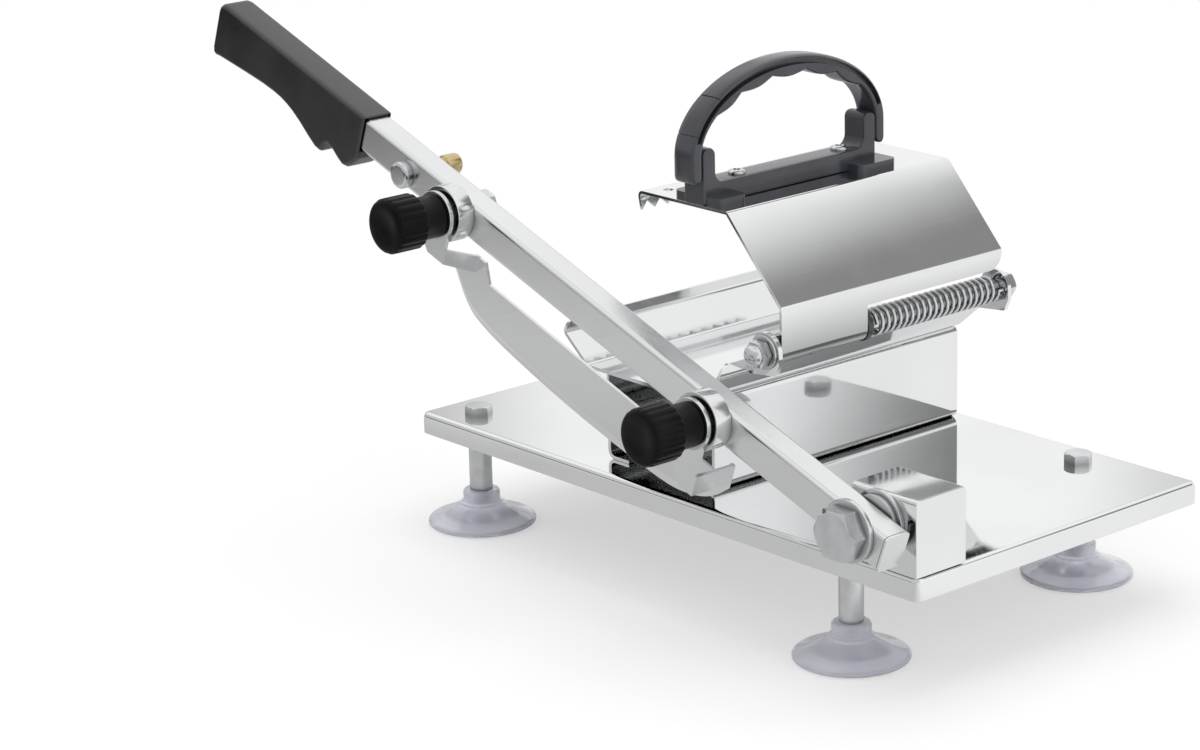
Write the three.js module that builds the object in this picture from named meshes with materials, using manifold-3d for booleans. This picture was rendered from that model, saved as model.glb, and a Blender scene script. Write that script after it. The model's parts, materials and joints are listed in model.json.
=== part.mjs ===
// Hand crank meat slicer: a hinged arm carries a clamped blade past a tray with a sprung press cover.
// Sizes are in millimetres. +X runs to the pivot end, +Y to the back and +Z up from the floor.
import * as THREE from "three";
import { mergeVertices } from "three/addons/utils/BufferGeometryUtils.js";
import Module from "manifold-3d";

const wasm = await Module();
wasm.setup();

// Fits
const clearance = 0.3;
const cutMargin = 2;
const joinOverlap = 1;
const turnedSides = 16;

// Base plate and feet
const baseLength = 300;
const baseWidth = 164;
const baseSheet = 1.5;
const baseFlange = 9.5;
const baseBend = 2.5;
const baseCorner = 4;
const legInsetRight = 51;
const legInsetLeft = 21;
const legInsetSide = 16;
const legLength = 32.7;
const legRadius = 5;
const legBoltRadius = 3;
const legBoltHeadAcross = 10.5;
const legBoltHeadHeight = 5;
const legBoltBite = 6;
const cupRadius = 23.5;
const cupRimHeight = 2.2;
const cupSealWidth = 3.5;
const cupDome = 3.5;
const cupHollowRadius = 12;
const cupHollowRise = 2.6;
const cupConeHeight = 9;
const cupShoulderHeight = 5.6;
const cupCollarRadius = 8;
const cupCollarHeight = 6;
const cupCollarFillet = 1;

// Stand
const standWidth = 65;
const standShiftX = -10;
const standHeight = 41.1;
const standFrontInset = 15;
const standLength = 142;
const standSheet = 1.5;
const standBend = 3;
const standFoot = 12;

// Tray
const traySheet = 1.5;
const trayFlareRun = 15;
const trayFlareRise = 12.7;
const trayLip = 5;
const trayBend = 3;
const trayOverhang = 10;
const trayNoseRadius = 6;

// Guide rod, its two ears and its nuts
const rodRadius = 3.5;
const rodOut = 8.5;
const rodRise = 4;
const earRadius = 8;
const earSheet = 2;
const earFoot = 5.6;
const frontEarInset = 16.5;
const backEarInset = 1;
const rodWasherThickness = 1.2;
const rodWasherRadius = 7;
const rodNutAcross = 10;
const rodNutHeight = 3.2;
const rodDomeRadius = 4.6;
const rodDomeHexHeight = 1.6;
const rodDomeSink = 1;
const rodDomeBite = 1;
const rodRearNutHeight = 5;
const rodTail = 1.5;

// Press cover
const coverSheet = 1.3;
const coverBend = 1.8;
const coverLength = 127;
const coverGap = 1.5;
const knuckleRadius = 6;
const knuckleWrapDegrees = 250;
const knuckleLength = 48;
const coverLip = 18;
const coverStrip = 8;
const coverSlantRun = 31;
const coverSlantRise = 34;
const coverTopWidth = 53;
const coverFlange = 8;
const coverFlangeSlant = 1.6;
const coverCornerRadius = 7;
const coverTeeth = 18;
const coverToothDepth = 3.5;
const coverHoleRadius = 2.2;
const coverHoleInset = 9;

// Bush and feed spring on the guide rod
const bushFlangeRadius = 6.4;
const bushFlangeThickness = 3;
const springCoils = 21;
const springWireRadius = 0.8;
const springRadius = 5.2;
const springStepsPerCoil = 8;
const springWireSides = 5;

// Handle on the cover
const handleShiftX = 7.5;
const archLength = 109;
const archWidth = 12;
const archRise = 34.5;
const archSpring = 19;
const archThickness = 5.5;
const archLegDrop = 10;
const archOpeningRise = 28;
const archWaves = 5;
const archWaveDepth = 2;
const archWaveMarginDegrees = 35;
const archRounding = 1.2;
const archFlange = 1.4;
const archChannel = 2.4;
const archChannelDepth = 2.5;
const archChannelMarginDegrees = 12;
const handleBaseWidth = 12;
const handleBarHeight = 8.5;
const handlePostWidth = 7;
const handlePostRise = 4;
const handlePostRound = 3;
const handlePostFillet = 4.5;
const handlePadWidth = 27;
const handlePadHeight = 3.5;
const handlePadCorner = 3;
const handlePadLength = 16;
const handlePadReach = 5;
const handleRounding = 1.2;
const handleScrewRadius = 2;
const handleScrewShift = 4;
const handleScrewHeadRadius = 3.6;
const handleScrewClearance = 0.6;
const handleScrewHeadHeight = 1.6;
const handleScrewTail = 1;
const handleNutAcross = 7;
const handleNutHeight = 3.2;

// Pivot of the arm
const bracketWidth = 34;
const bracketDepth = 27;
const bracketHeight = 30.8;
const bracketSheet = 2;
const bracketInset = 0.5;
const pivotInset = 19;
const pivotRise = 19.1;
const pivotRadius = 6;
const pivotHeadAcross = 19;
const pivotHeadHeight = 7.5;
const pivotWasherRadius = 12.5;
const pivotWasherThickness = 2;
const springWasherRadius = 11;
const springWasherSplit = 1.2;
const pivotNutHeight = 10;
const pivotTail = 4;

// Arm
const armAngleDegrees = 19.83;
const armDepth = 12.5;
const armHeight = 15.5;
const armWall = 1.5;
const armCorner = 2;
const armTail = 16.5;
const armReach = 398;
const armCapLip = 1;
const armCapPlug = 8;

// Grip on the arm
const gripSocket = 89;
const gripLength = 109;
const gripWall = 1.5;
const gripTop = 9;
const gripRounding = 2;
const gripEndRadius = 5;
const gripHeel = 18.4;
const gripHeelRun = 6;
const gripUnderside = [
  [0, 11.2],
  [8, 19.5],
  [21, 15.6],
  [27, 21.8],
  [48, 14.2],
  [66, 12.4],
  [gripLength - gripHeelRun, 16.2],
];

// Blade clamps on the arm
const lowerStudReach = 80.5;
const studSpacing = 163.5;
const studRadius = 4;
const studNutAcross = 13;
const studNutHeight = 5;
const studTail = 1;
const studEndGap = 1;
const bossRadius = 12;
const bossLength = 8;
const clampWasherRadius = 10.5;
const clampWasherThickness = 2;
const knobNeckRadius = 9;
const knobNeckLength = 11;
const knobRadius = 11.7;
const knobLength = 15;
const knobEdge = 1.5;
const knobFlutes = 20;
const knobFluteRadius = 0.9;
const knobFluteDepth = 0.45;
const knobBore = 13;

// Blade, measured from the arm's centre line
const bladeSheet = 1.5;
const bladeSetback = 10;
const bladeSpineDrop = 28;
const bladeShoulderDrop = 20;
const bladeEarHalfWidth = 8;
const bladeUpperEndInset = 6;
const bladeUpperShoulder = 7;
const bladeLowerShoulder = 2;
const bladeShoulderSlope = 5;
const upperEarDrop = 19;
const upperEarCut = 6;
const lowerEarDrop = 29;
const lowerEarCut = 9;
const bladeBevel = 4;
const bladeEdgeLand = 0.2;
const bladeEdgeSteps = 32;
const bladeTip = [
  [6, 12.5],
  [-6, 23.6],
  [-18, 28.3],
  [-44, 30.9],
  [-88, 32],
];
const bladeHeel = [
  [38, 30.2],
  [20, 26.5],
  [8, 20],
  [0, 11],
];

// Stop on the arm
const stopGap = 17.2;
const stopDrop = 2;
const stopBoltRadius = 3;
const stopHeadRadius = 5.8;
const stopHeadHeight = 4;
const brassRadius = 4.5;
const brassLength = 16;
const brassEnd = 3;
const brassChamfer = 1;

// Derived places
const baseTop = cupConeHeight + cupCollarHeight + legLength + baseSheet;
const baseFront = -baseWidth / 2;
const standLeft = standShiftX - standWidth / 2;
const standRight = standShiftX + standWidth / 2;
const standFront = baseFront + standFrontInset;
const standBack = standFront + standLength;
const standTop = baseTop + standHeight;
const trayFront = standFront - trayOverhang;
const trayBack = standBack;
const trayLipX = standRight + trayFlareRun - traySheet / 2;
const trayLipTop = standTop + trayFlareRise + trayLip;
const rodX = standRight + trayFlareRun + rodOut;
const rodZ = trayLipTop + rodRise;
const frontEarY = trayFront + frontEarInset;
const backEarY = trayBack - backEarInset - earSheet;
const coverFront = frontEarY + earSheet + coverGap;
const coverBack = coverFront + coverLength;
const knuckleEnd = coverFront + knuckleLength;
const coverFoldX = rodX + knuckleRadius;
const coverFoldZ = rodZ + coverLip;
const coverTopRight = coverFoldX - coverSlantRun;
const coverTop = coverFoldZ + coverSlantRise;
const coverTopLeft = coverTopRight - coverTopWidth;
const bushOuter = knuckleRadius - coverSheet - clearance;
const bushFront = frontEarY + earSheet + clearance;
const bushEnd = knuckleEnd + clearance + bushFlangeThickness;
const handleX = (coverTopLeft + coverTopRight) / 2 + handleShiftX;
const handlePostOuter = archLength / 2 - archThickness - clearance;
const handlePostInner = handlePostOuter - handlePostWidth - handlePostFillet;
const handleScrewReach = handlePostInner - handleScrewClearance - handleScrewHeadRadius - handleScrewShift;
const handleY = coverFront + handlePostOuter;
const archFootZ = coverTop + archSpring;
const pivotX = baseLength / 2 - pivotInset;
const pivotZ = baseTop + pivotRise;
const armBack = baseFront - 2 * pivotWasherThickness;
const armFront = armBack - armDepth;
const bossFront = armFront - bossLength;
const earFront = bossFront - bladeSheet;
const washerFront = earFront - clampWasherThickness;
const knobFront = washerFront - knobNeckLength - knobLength;
const studBack = armBack + studNutHeight + studTail;
const upperStudReach = lowerStudReach + studSpacing;
const stopReach = upperStudReach + bossRadius + stopHeadRadius + stopGap;
const gripStart = armReach - gripSocket;
const bladeFront = armFront + bladeSetback;
const bladeBack = bladeFront + bladeSheet;

// Materials
const steel = { color: 0xd9dbdd, roughness: 0.12, metalness: 1 };
const bolts = { color: 0xc4c7ca, roughness: 0.25, metalness: 1 };
const darkSteel = { color: 0x55585c, roughness: 0.35, metalness: 1 };
const blackPlastic = { color: 0x17181a, roughness: 0.45, metalness: 0 };
const handlePlastic = { color: 0x2b2e36, roughness: 0.35, metalness: 0 };
const brass = { color: 0xb98a3c, roughness: 0.3, metalness: 1 };
const clearVinyl = { color: 0xb9bdd8, roughness: 0.15, metalness: 0 };

const slicer = new THREE.Group();

// Adds one named piece to its group with a material of its own.
function piece(group, name, geometry, look) {
  const mesh = new THREE.Mesh(geometry, new THREE.MeshStandardMaterial(look));
  mesh.name = name;
  group.add(mesh);
  return mesh;
}

// Turns a closed geometry into a solid that can be cut and joined.
function toSolid(geometry) {
  const bare = geometry.clone();
  bare.deleteAttribute("normal");
  bare.deleteAttribute("uv");
  const merged = mergeVertices(bare, 1e-4);
  const vertProperties = new Float32Array(merged.attributes.position.array);
  const triVerts = new Uint32Array(merged.index.array);
  return new wasm.Manifold(new wasm.Mesh({ numProp: 3, vertProperties, triVerts }));
}

// Turns a solid back into a geometry.
function toGeometry(solid) {
  const mesh = solid.getMesh();
  const geometry = new THREE.BufferGeometry();
  geometry.setAttribute("position", new THREE.BufferAttribute(mesh.vertProperties, 3));
  geometry.setIndex(new THREE.BufferAttribute(mesh.triVerts, 1));
  geometry.computeVertexNormals();
  return geometry;
}

// Removes each tool from the body.
function cut(body, ...tools) {
  const rest = tools.reduce((solid, tool) => solid.subtract(toSolid(tool)), toSolid(body));
  return toGeometry(rest);
}

// Joins overlapping geometries into one.
function join(body, ...others) {
  const whole = others.reduce((solid, other) => solid.add(toSolid(other)), toSolid(body));
  return toGeometry(whole);
}

// A box between two corners.
function block(x0, x1, y0, y1, z0, z1) {
  const box = new THREE.BoxGeometry(x1 - x0, y1 - y0, z1 - z0);
  return box.translate((x0 + x1) / 2, (y0 + y1) / 2, (z0 + z1) / 2);
}

// A shape drawn in X and Z, extruded along Y.
function alongY(shape, y0, y1, curveSegments = turnedSides / 2) {
  const geometry = new THREE.ExtrudeGeometry(shape, { depth: y1 - y0, bevelEnabled: false, curveSegments });
  return geometry.rotateX(Math.PI / 2).translate(0, y1, 0);
}

// A shape drawn in Y and Z, extruded along X.
function alongX(shape, x0, x1, curveSegments = turnedSides / 2) {
  const geometry = new THREE.ExtrudeGeometry(shape, { depth: x1 - x0, bevelEnabled: false, curveSegments });
  const axes = new THREE.Matrix4().makeBasis(
    new THREE.Vector3(0, 1, 0),
    new THREE.Vector3(0, 0, 1),
    new THREE.Vector3(1, 0, 0),
  );
  return geometry.applyMatrix4(axes).translate(x0, 0, 0);
}

// An extrusion of a given depth whose two faces have rounded edges.
function roundedSlab(shape, depth, radius, curveSegments, bevelSegments = 2) {
  return new THREE.ExtrudeGeometry(shape, {
    depth: depth - 2 * radius,
    bevelEnabled: true,
    bevelThickness: radius,
    bevelSize: radius,
    bevelOffset: -radius,
    bevelSegments,
    curveSegments,
  }).translate(0, 0, radius);
}

// A cylinder along Y.
function barY(radius, y0, y1, x = 0, z = 0, sides = turnedSides) {
  return new THREE.CylinderGeometry(radius, radius, y1 - y0, sides).translate(x, (y0 + y1) / 2, z);
}

// A cylinder along Z.
function barZ(radius, z0, z1, x = 0, y = 0, sides = turnedSides) {
  const bar = new THREE.CylinderGeometry(radius, radius, z1 - z0, sides);
  return bar.rotateX(Math.PI / 2).translate(x, y, (z0 + z1) / 2);
}

// A cylinder along X.
function barX(radius, x0, x1, y, z, sides = turnedSides) {
  const bar = new THREE.CylinderGeometry(radius, radius, x1 - x0, sides);
  return bar.rotateZ(Math.PI / 2).translate((x0 + x1) / 2, y, z);
}

// A body of revolution about Y; its profile is radius and height, counterclockwise.
function turnedY(profile, sides = turnedSides) {
  const points = profile.map(([radius, height]) => new THREE.Vector2(radius, height));
  return new THREE.LatheGeometry(points, sides);
}

// A washer, sleeve or spacer along Y.
function ringY(outer, inner, y0, y1, sides = turnedSides) {
  return turnedY([[outer, y0], [outer, y1], [inner, y1], [inner, y0], [outer, y0]], sides);
}

// A hexagon of a given width across its flats, with a hole if one is asked for.
function hexagon(across, holeRadius = 0) {
  const corners = [];
  for (let corner = 0; corner < 6; corner += 1) {
    const angle = (corner * Math.PI) / 3;
    const radius = across / Math.sqrt(3);
    corners.push(new THREE.Vector2(radius * Math.cos(angle), radius * Math.sin(angle)));
  }
  const shape = new THREE.Shape(corners);
  if (holeRadius > 0) {
    const hole = new THREE.Path();
    hole.absarc(0, 0, holeRadius, 0, 2 * Math.PI, false);
    shape.holes.push(hole);
  }
  return shape;
}

// A rectangle with rounded corners.
function roundedRectangle(x0, x1, y0, y1, radius) {
  const shape = new THREE.Shape();
  shape.moveTo(x0 + radius, y0);
  shape.lineTo(x1 - radius, y0);
  shape.absarc(x1 - radius, y0 + radius, radius, -Math.PI / 2, 0, false);
  shape.lineTo(x1, y1 - radius);
  shape.absarc(x1 - radius, y1 - radius, radius, 0, Math.PI / 2, false);
  shape.lineTo(x0 + radius, y1);
  shape.absarc(x0 + radius, y1 - radius, radius, Math.PI / 2, Math.PI, false);
  shape.lineTo(x0, y0 + radius);
  shape.absarc(x0 + radius, y0 + radius, radius, Math.PI, 1.5 * Math.PI, false);
  return shape;
}

// The section of a bent sheet: its middle line runs through the corners, and each bend is an arc.
function bentSheet(corners, thickness, bendRadius, bendSteps = 4) {
  const points = corners.map(([x, z]) => new THREE.Vector2(x, z));
  const leftFace = [];
  const rightFace = [];
  const half = thickness / 2;
  points.forEach((point, index) => {
    const before = point.clone().sub(points[index - 1] ?? point).normalize();
    const after = (points[index + 1] ?? point).clone().sub(point).normalize();
    if (index === 0 || index === points.length - 1) {
      const along = index === 0 ? after : before;
      const normal = new THREE.Vector2(-along.y, along.x);
      leftFace.push(point.clone().addScaledVector(normal, half));
      rightFace.push(point.clone().addScaledVector(normal, -half));
      return;
    }
    const turn = Math.atan2(before.cross(after), before.dot(after));
    const side = Math.sign(turn);
    const setback = bendRadius * Math.tan(Math.abs(turn) / 2);
    const normal = new THREE.Vector2(-before.y, before.x);
    const start = point.clone().addScaledVector(before, -setback);
    const centre = start.clone().addScaledVector(normal, side * bendRadius);
    for (let step = 0; step <= bendSteps; step += 1) {
      const radial = normal.clone().multiplyScalar(-side);
      radial.rotateAround(new THREE.Vector2(), (turn * step) / bendSteps);
      leftFace.push(centre.clone().addScaledVector(radial, bendRadius - side * half));
      rightFace.push(centre.clone().addScaledVector(radial, bendRadius + side * half));
    }
  });
  return new THREE.Shape([...leftFace, ...rightFace.reverse()]);
}

// Base plate: a shallow folded pan, open underneath, with a hole for each leg bolt.
const legs = [
  ["front_right", baseLength / 2 - legInsetRight, baseFront + legInsetSide],
  ["back_right", baseLength / 2 - legInsetRight, -baseFront - legInsetSide],
  ["front_left", legInsetLeft - baseLength / 2, baseFront + legInsetSide],
  ["back_left", legInsetLeft - baseLength / 2, -baseFront - legInsetSide],
];

function basePan(inset, top, bend) {
  const halfLength = baseLength / 2 - inset;
  const halfWidth = baseWidth / 2 - inset;
  const outline = roundedRectangle(-halfLength, halfLength, -halfWidth, halfWidth, baseCorner);
  const depth = 2 * (baseFlange + bend);
  return roundedSlab(outline, depth, bend, 3).translate(0, 0, top - depth);
}

function basePlate() {
  const outer = basePan(0, baseTop, baseBend);
  const inner = basePan(baseSheet, baseTop - baseSheet, baseBend - baseSheet);
  const below = block(-baseLength, baseLength, -baseWidth, baseWidth, 0, baseTop - baseFlange);
  const holes = legs.map(([, x, y]) => barZ(legBoltRadius + clearance, 0, baseTop + cutMargin, x, y));
  return cut(outer, inner, below, ...holes);
}
piece(slicer, "base_plate", basePlate(), steel);

// Feet: a hex bolt through the plate and a tube spacer, screwed into a suction cup's collar.
const cupTop = cupConeHeight + cupCollarHeight;

function legBolt() {
  const shank = barZ(legBoltRadius, cupTop - legBoltBite, baseTop + joinOverlap);
  const head = new THREE.ExtrudeGeometry(hexagon(legBoltHeadAcross), {
    depth: legBoltHeadHeight,
    bevelEnabled: false,
  });
  return join(head.translate(0, 0, baseTop), shank);
}

function legSpacer() {
  const tube = ringY(legRadius, legBoltRadius + clearance, cupTop, baseTop - baseSheet);
  return tube.rotateX(Math.PI / 2);
}

function suctionCup() {
  const sealRadius = cupRadius - cupSealWidth;
  const boltHole = legBoltRadius + clearance;
  const holeFloor = cupTop - legBoltBite - clearance;
  const cup = turnedY([
    [0, cupDome],
    [cupHollowRadius, cupHollowRise],
    [sealRadius, 0],
    [cupRadius, 0],
    [cupRadius, cupRimHeight],
    [(cupRadius + cupCollarRadius) / 2, cupShoulderHeight],
    [cupCollarRadius + cupCollarFillet, cupConeHeight],
    [cupCollarRadius, cupConeHeight + cupCollarFillet],
    [cupCollarRadius, cupTop],
    [boltHole, cupTop],
    [boltHole, holeFloor],
    [0, holeFloor],
  ], 24);
  return cup.rotateX(Math.PI / 2);
}

for (const [place, x, y] of legs) {
  piece(slicer, `leg_bolt_${place}`, legBolt(), bolts).position.set(x, y, 0);
  piece(slicer, `leg_spacer_${place}`, legSpacer(), bolts).position.set(x, y, 0);
  piece(slicer, `suction_cup_${place}`, suctionCup(), clearVinyl).position.set(x, y, 0);
}

// Stand: a folded channel with its web up and its feet turned in.
function stand() {
  const half = standSheet / 2;
  const left = standLeft + half;
  const right = standRight - half;
  const top = standTop - half;
  const foot = baseTop + half;
  const middle = [
    [left + standFoot, foot],
    [left, foot],
    [left, top],
    [right, top],
    [right, foot],
    [right - standFoot, foot],
  ];
  return alongY(bentSheet(middle, standSheet, standBend), standFront, standBack);
}
piece(slicer, "stand", stand(), steel);

// Tray: a channel with flared sides on the stand, with two welded ears that hold the guide rod.
function earShape() {
  const shape = new THREE.Shape();
  const foot = trayLipTop - trayLip - traySheet;
  shape.moveTo(trayLipX, foot);
  shape.lineTo(rodX + earFoot, trayLipTop - trayLip);
  shape.lineTo(rodX + earRadius, rodZ - rodRise);
  shape.absarc(rodX, rodZ, earRadius, 0, Math.PI, false);
  shape.lineTo(trayLipX, trayLipTop - traySheet);
  shape.closePath();
  const hole = new THREE.Path();
  hole.absarc(rodX, rodZ, rodRadius + clearance, 0, 2 * Math.PI, false);
  shape.holes.push(hole);
  return shape;
}

function trayNose(side) {
  const lipX = side > 0 ? trayLipX : 2 * standShiftX - trayLipX;
  const corner = block(
    lipX - traySheet, lipX + traySheet,
    trayFront - cutMargin, trayFront + trayNoseRadius,
    trayLipTop - trayNoseRadius, trayLipTop + cutMargin,
  );
  const round = barX(
    trayNoseRadius, lipX - 2 * traySheet, lipX + 2 * traySheet,
    trayFront + trayNoseRadius, trayLipTop - trayNoseRadius,
  );
  return cut(corner, round);
}

function tray() {
  const half = traySheet / 2;
  const mirror = (x) => 2 * standShiftX - x;
  const floor = standTop + half;
  const flareTop = standTop + trayFlareRise;
  const middle = [
    [mirror(trayLipX), trayLipTop],
    [mirror(trayLipX), flareTop],
    [standLeft, floor],
    [standRight, floor],
    [trayLipX, flareTop],
    [trayLipX, trayLipTop],
  ];
  const channel = alongY(bentSheet(middle, traySheet, trayBend), trayFront, trayBack);
  const frontEar = alongY(earShape(), frontEarY, frontEarY + earSheet);
  const backEar = alongY(earShape(), backEarY, backEarY + earSheet);
  return cut(join(channel, frontEar, backEar), trayNose(1), trayNose(-1));
}
piece(slicer, "tray", tray(), steel);

// Guide rod with a washer, a hex nut and a dome nut in front, and a washer and a nut behind.
const rod = new THREE.Group();
rod.position.set(rodX, 0, rodZ);
slicer.add(rod);
const frontWasherY = frontEarY - rodWasherThickness;
const frontNutY = frontWasherY - rodNutHeight;
const domeHexY = frontNutY - rodDomeHexHeight;
const rodFrontEnd = frontNutY - rodDomeBite;
const rearWasherY = backEarY + earSheet;
const rearNutY = rearWasherY + rodWasherThickness;
const rodBackEnd = rearNutY + rodRearNutHeight + rodTail;

function domeNut() {
  const hex = alongY(hexagon(rodNutAcross), domeHexY, frontNutY);
  const dome = new THREE.SphereGeometry(rodDomeRadius, turnedSides, 10);
  const ahead = barY(rodDomeRadius + cutMargin, domeHexY - 2 * rodDomeRadius, domeHexY + rodDomeSink / 2);
  const cap = toSolid(dome.translate(0, domeHexY + rodDomeSink, 0)).intersect(toSolid(ahead));
  const shell = toSolid(hex).add(cap);
  return toGeometry(shell.subtract(toSolid(barY(rodRadius + clearance, rodFrontEnd - clearance, 0))));
}
piece(rod, "guide_rod", barY(rodRadius, rodFrontEnd, rodBackEnd), bolts);
const rodHole = rodRadius + clearance;
piece(rod, "rod_front_washer", ringY(rodWasherRadius, rodHole, frontWasherY, frontEarY), bolts);
piece(rod, "rod_front_nut", alongY(hexagon(rodNutAcross, rodHole), frontNutY, frontWasherY), bolts);
piece(rod, "rod_dome_nut", domeNut(), bolts);
piece(rod, "rod_rear_washer", ringY(rodWasherRadius, rodHole, rearWasherY, rearNutY), darkSteel);
const rearNut = alongY(hexagon(rodNutAcross, rodHole), rearNutY, rearNutY + rodRearNutHeight);
piece(rod, "rod_rear_nut", rearNut, bolts);

// Bush: a thin sleeve inside the cover's knuckle, with a flange that the spring pushes.
const bush = turnedY([
  [bushOuter, bushFront],
  [bushOuter, bushEnd - bushFlangeThickness],
  [bushFlangeRadius, bushEnd - bushFlangeThickness],
  [bushFlangeRadius, bushEnd],
  [rodHole, bushEnd],
  [rodHole, bushFront],
  [bushOuter, bushFront],
]);
piece(rod, "rod_bush", bush, darkSteel);

// Feed spring: one wire wound by formula, its ends straight along the rod.
function springPath() {
  const start = bushEnd + clearance;
  const end = backEarY - clearance;
  const straight = 2 * springWireRadius;
  const rise = end - start - 2 * straight - 2 * springWireRadius;
  const steps = springCoils * springStepsPerCoil;
  const points = [new THREE.Vector3(springRadius, start, 0)];
  for (let step = 0; step <= steps; step += 1) {
    const angle = (2 * Math.PI * step) / springStepsPerCoil;
    const y = start + straight + springWireRadius + (rise * step) / steps;
    points.push(new THREE.Vector3(springRadius * Math.cos(angle), y, springRadius * Math.sin(angle)));
  }
  points.push(new THREE.Vector3(springRadius, end, 0));
  return points;
}

function wireAlong(points, radius, sides) {
  const positions = [];
  const index = [];
  points.forEach((point, ring) => {
    const before = points[Math.max(ring - 1, 0)];
    const after = points[Math.min(ring + 1, points.length - 1)];
    const along = after.clone().sub(before).normalize();
    const outward = new THREE.Vector3(point.x, 0, point.z).normalize();
    const across = new THREE.Vector3().crossVectors(along, outward).normalize();
    const up = new THREE.Vector3().crossVectors(across, along).normalize();
    for (let side = 0; side < sides; side += 1) {
      const angle = (2 * Math.PI * side) / sides;
      const rim = point.clone();
      rim.addScaledVector(up, radius * Math.cos(angle));
      rim.addScaledVector(across, radius * Math.sin(angle));
      positions.push(rim.x, rim.y, rim.z);
    }
  });
  const last = (points.length - 1) * sides;
  for (let ring = 0; ring < points.length - 1; ring += 1) {
    for (let side = 0; side < sides; side += 1) {
      const here = ring * sides + side;
      const beside = ring * sides + ((side + 1) % sides);
      index.push(here, beside, here + sides, beside, beside + sides, here + sides);
    }
  }
  for (let side = 1; side < sides - 1; side += 1) {
    index.push(0, side + 1, side);
    index.push(last, last + side, last + side + 1);
  }
  const geometry = new THREE.BufferGeometry();
  geometry.setAttribute("position", new THREE.Float32BufferAttribute(positions, 3));
  geometry.setIndex(index);
  geometry.computeVertexNormals();
  return geometry;
}

function leastGap(points, radius, apart) {
  let least = Infinity;
  points.forEach((point, here) => {
    for (let there = here + apart; there < points.length; there += 1) {
      least = Math.min(least, point.distanceTo(points[there]));
    }
  });
  return least - 2 * radius;
}
const springPoints = springPath();
const springGap = leastGap(springPoints, springWireRadius, springStepsPerCoil / 2);
console.log(`feed spring: least gap to itself ${springGap.toFixed(2)} mm`);
piece(rod, "feed_spring", wireAlong(springPoints, springWireRadius, springWireSides), bolts);

// Press cover: one bent sheet from a toothed flange over the top to a knuckle round the rod.
function coverSection() {
  const half = coverSheet / 2;
  const ring = knuckleRadius - half;
  const turned = THREE.MathUtils.degToRad(knuckleWrapDegrees);
  const outline = bentSheet([
    [coverTopLeft + half + coverFlangeSlant, coverTop - coverFlange],
    [coverTopLeft + half, coverTop - half],
    [coverTopRight, coverTop - half],
    [coverFoldX - half, coverFoldZ],
    [coverFoldX - half, rodZ],
  ], coverSheet, coverBend);
  const wrap = new THREE.Shape();
  wrap.absarc(rodX, rodZ, ring + half, 0, -turned, true);
  wrap.absarc(rodX, rodZ, ring - half, -turned, 0, false);
  return [outline, wrap];
}

function coverTooth(index) {
  const pitch = coverLength / coverTeeth;
  const start = coverFront + index * pitch;
  const tip = coverTop - coverFlange;
  const notch = new THREE.Shape();
  notch.moveTo(start, tip - cutMargin);
  notch.lineTo(start, tip);
  notch.lineTo(start + pitch / 2, tip + coverToothDepth);
  notch.lineTo(start + pitch, tip);
  notch.lineTo(start + pitch, tip - cutMargin);
  return alongX(notch, coverTopLeft - coverFlange, coverTopLeft + coverFlange);
}

function coverBackCorner() {
  const strip = coverFoldZ - coverStrip;
  const shape = new THREE.Shape();
  shape.moveTo(coverBack + cutMargin, strip - cutMargin);
  shape.lineTo(coverBack + cutMargin, strip + coverCornerRadius);
  shape.lineTo(coverBack, strip + coverCornerRadius);
  shape.absarc(coverBack - coverCornerRadius, strip + coverCornerRadius, coverCornerRadius, 0, -Math.PI / 2, true);
  shape.lineTo(coverBack - coverCornerRadius, strip - cutMargin);
  return alongX(shape, rodX, coverFoldX + cutMargin);
}

function pressCover() {
  const [outline, wrap] = coverSection();
  const sheet = join(alongY(outline, coverFront, coverBack), alongY(wrap, coverFront, coverBack, 10));
  const slot = block(
    rodX - knuckleRadius - cutMargin, coverFoldX + cutMargin,
    knuckleEnd, coverBack + cutMargin,
    rodZ - knuckleRadius - cutMargin, coverFoldZ - coverStrip,
  );
  const hole = barZ(
    coverHoleRadius, coverTop - coverFlange, coverTop + cutMargin,
    coverTopLeft + coverHoleInset, coverFront + coverHoleInset,
  );
  const teeth = Array.from({ length: coverTeeth }, (_, index) => coverTooth(index));
  const screwHoles = handleScrewPlaces().map((y) => (
    barZ(handleScrewRadius + clearance, coverTop - coverFlange, coverTop + cutMargin, handleX, y, 12)
  ));
  return cut(sheet, slot, coverBackCorner(), hole, ...teeth, ...screwHoles);
}

// Handle: a channelled arch with finger bumps under it, clasping a padded base bar with two posts.
function handleScrewPlaces() {
  const middle = handleY + handleScrewShift;
  return [middle - handleScrewReach, middle + handleScrewReach];
}

// A point on an ellipse round the handle's middle, by its angle up from the front leg.
function archPoint(angle, halfLength, rise) {
  return new THREE.Vector2(handleY - halfLength * Math.cos(angle), archFootZ + rise * Math.sin(angle));
}

// How far a finger bump stands out from the arch's underside at an angle.
function archWave(angle) {
  const margin = THREE.MathUtils.degToRad(archWaveMarginDegrees);
  const share = (angle - margin) / (Math.PI - 2 * margin);
  return share > 0 && share < 1 ? archWaveDepth * Math.abs(Math.sin(Math.PI * archWaves * share)) : 0;
}

// The tool for the channel that follows the arch on one of its faces.
function archChannelTool(start) {
  const steps = 24;
  const margin = THREE.MathUtils.degToRad(archChannelMarginDegrees);
  const edge = (inset, step) => {
    const angle = margin + ((Math.PI - 2 * margin) * step) / steps;
    return archPoint(angle, archLength / 2 - inset, archRise - inset);
  };
  const outer = Array.from({ length: steps + 1 }, (_, step) => edge(archFlange, step));
  const inner = Array.from({ length: steps + 1 }, (_, step) => edge(archFlange + archChannel, steps - step));
  const depth = archChannelDepth + cutMargin;
  const tool = new THREE.ExtrudeGeometry(new THREE.Shape([...outer, ...inner]), { depth, bevelEnabled: false });
  return faceAlongX(tool, start);
}

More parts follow.
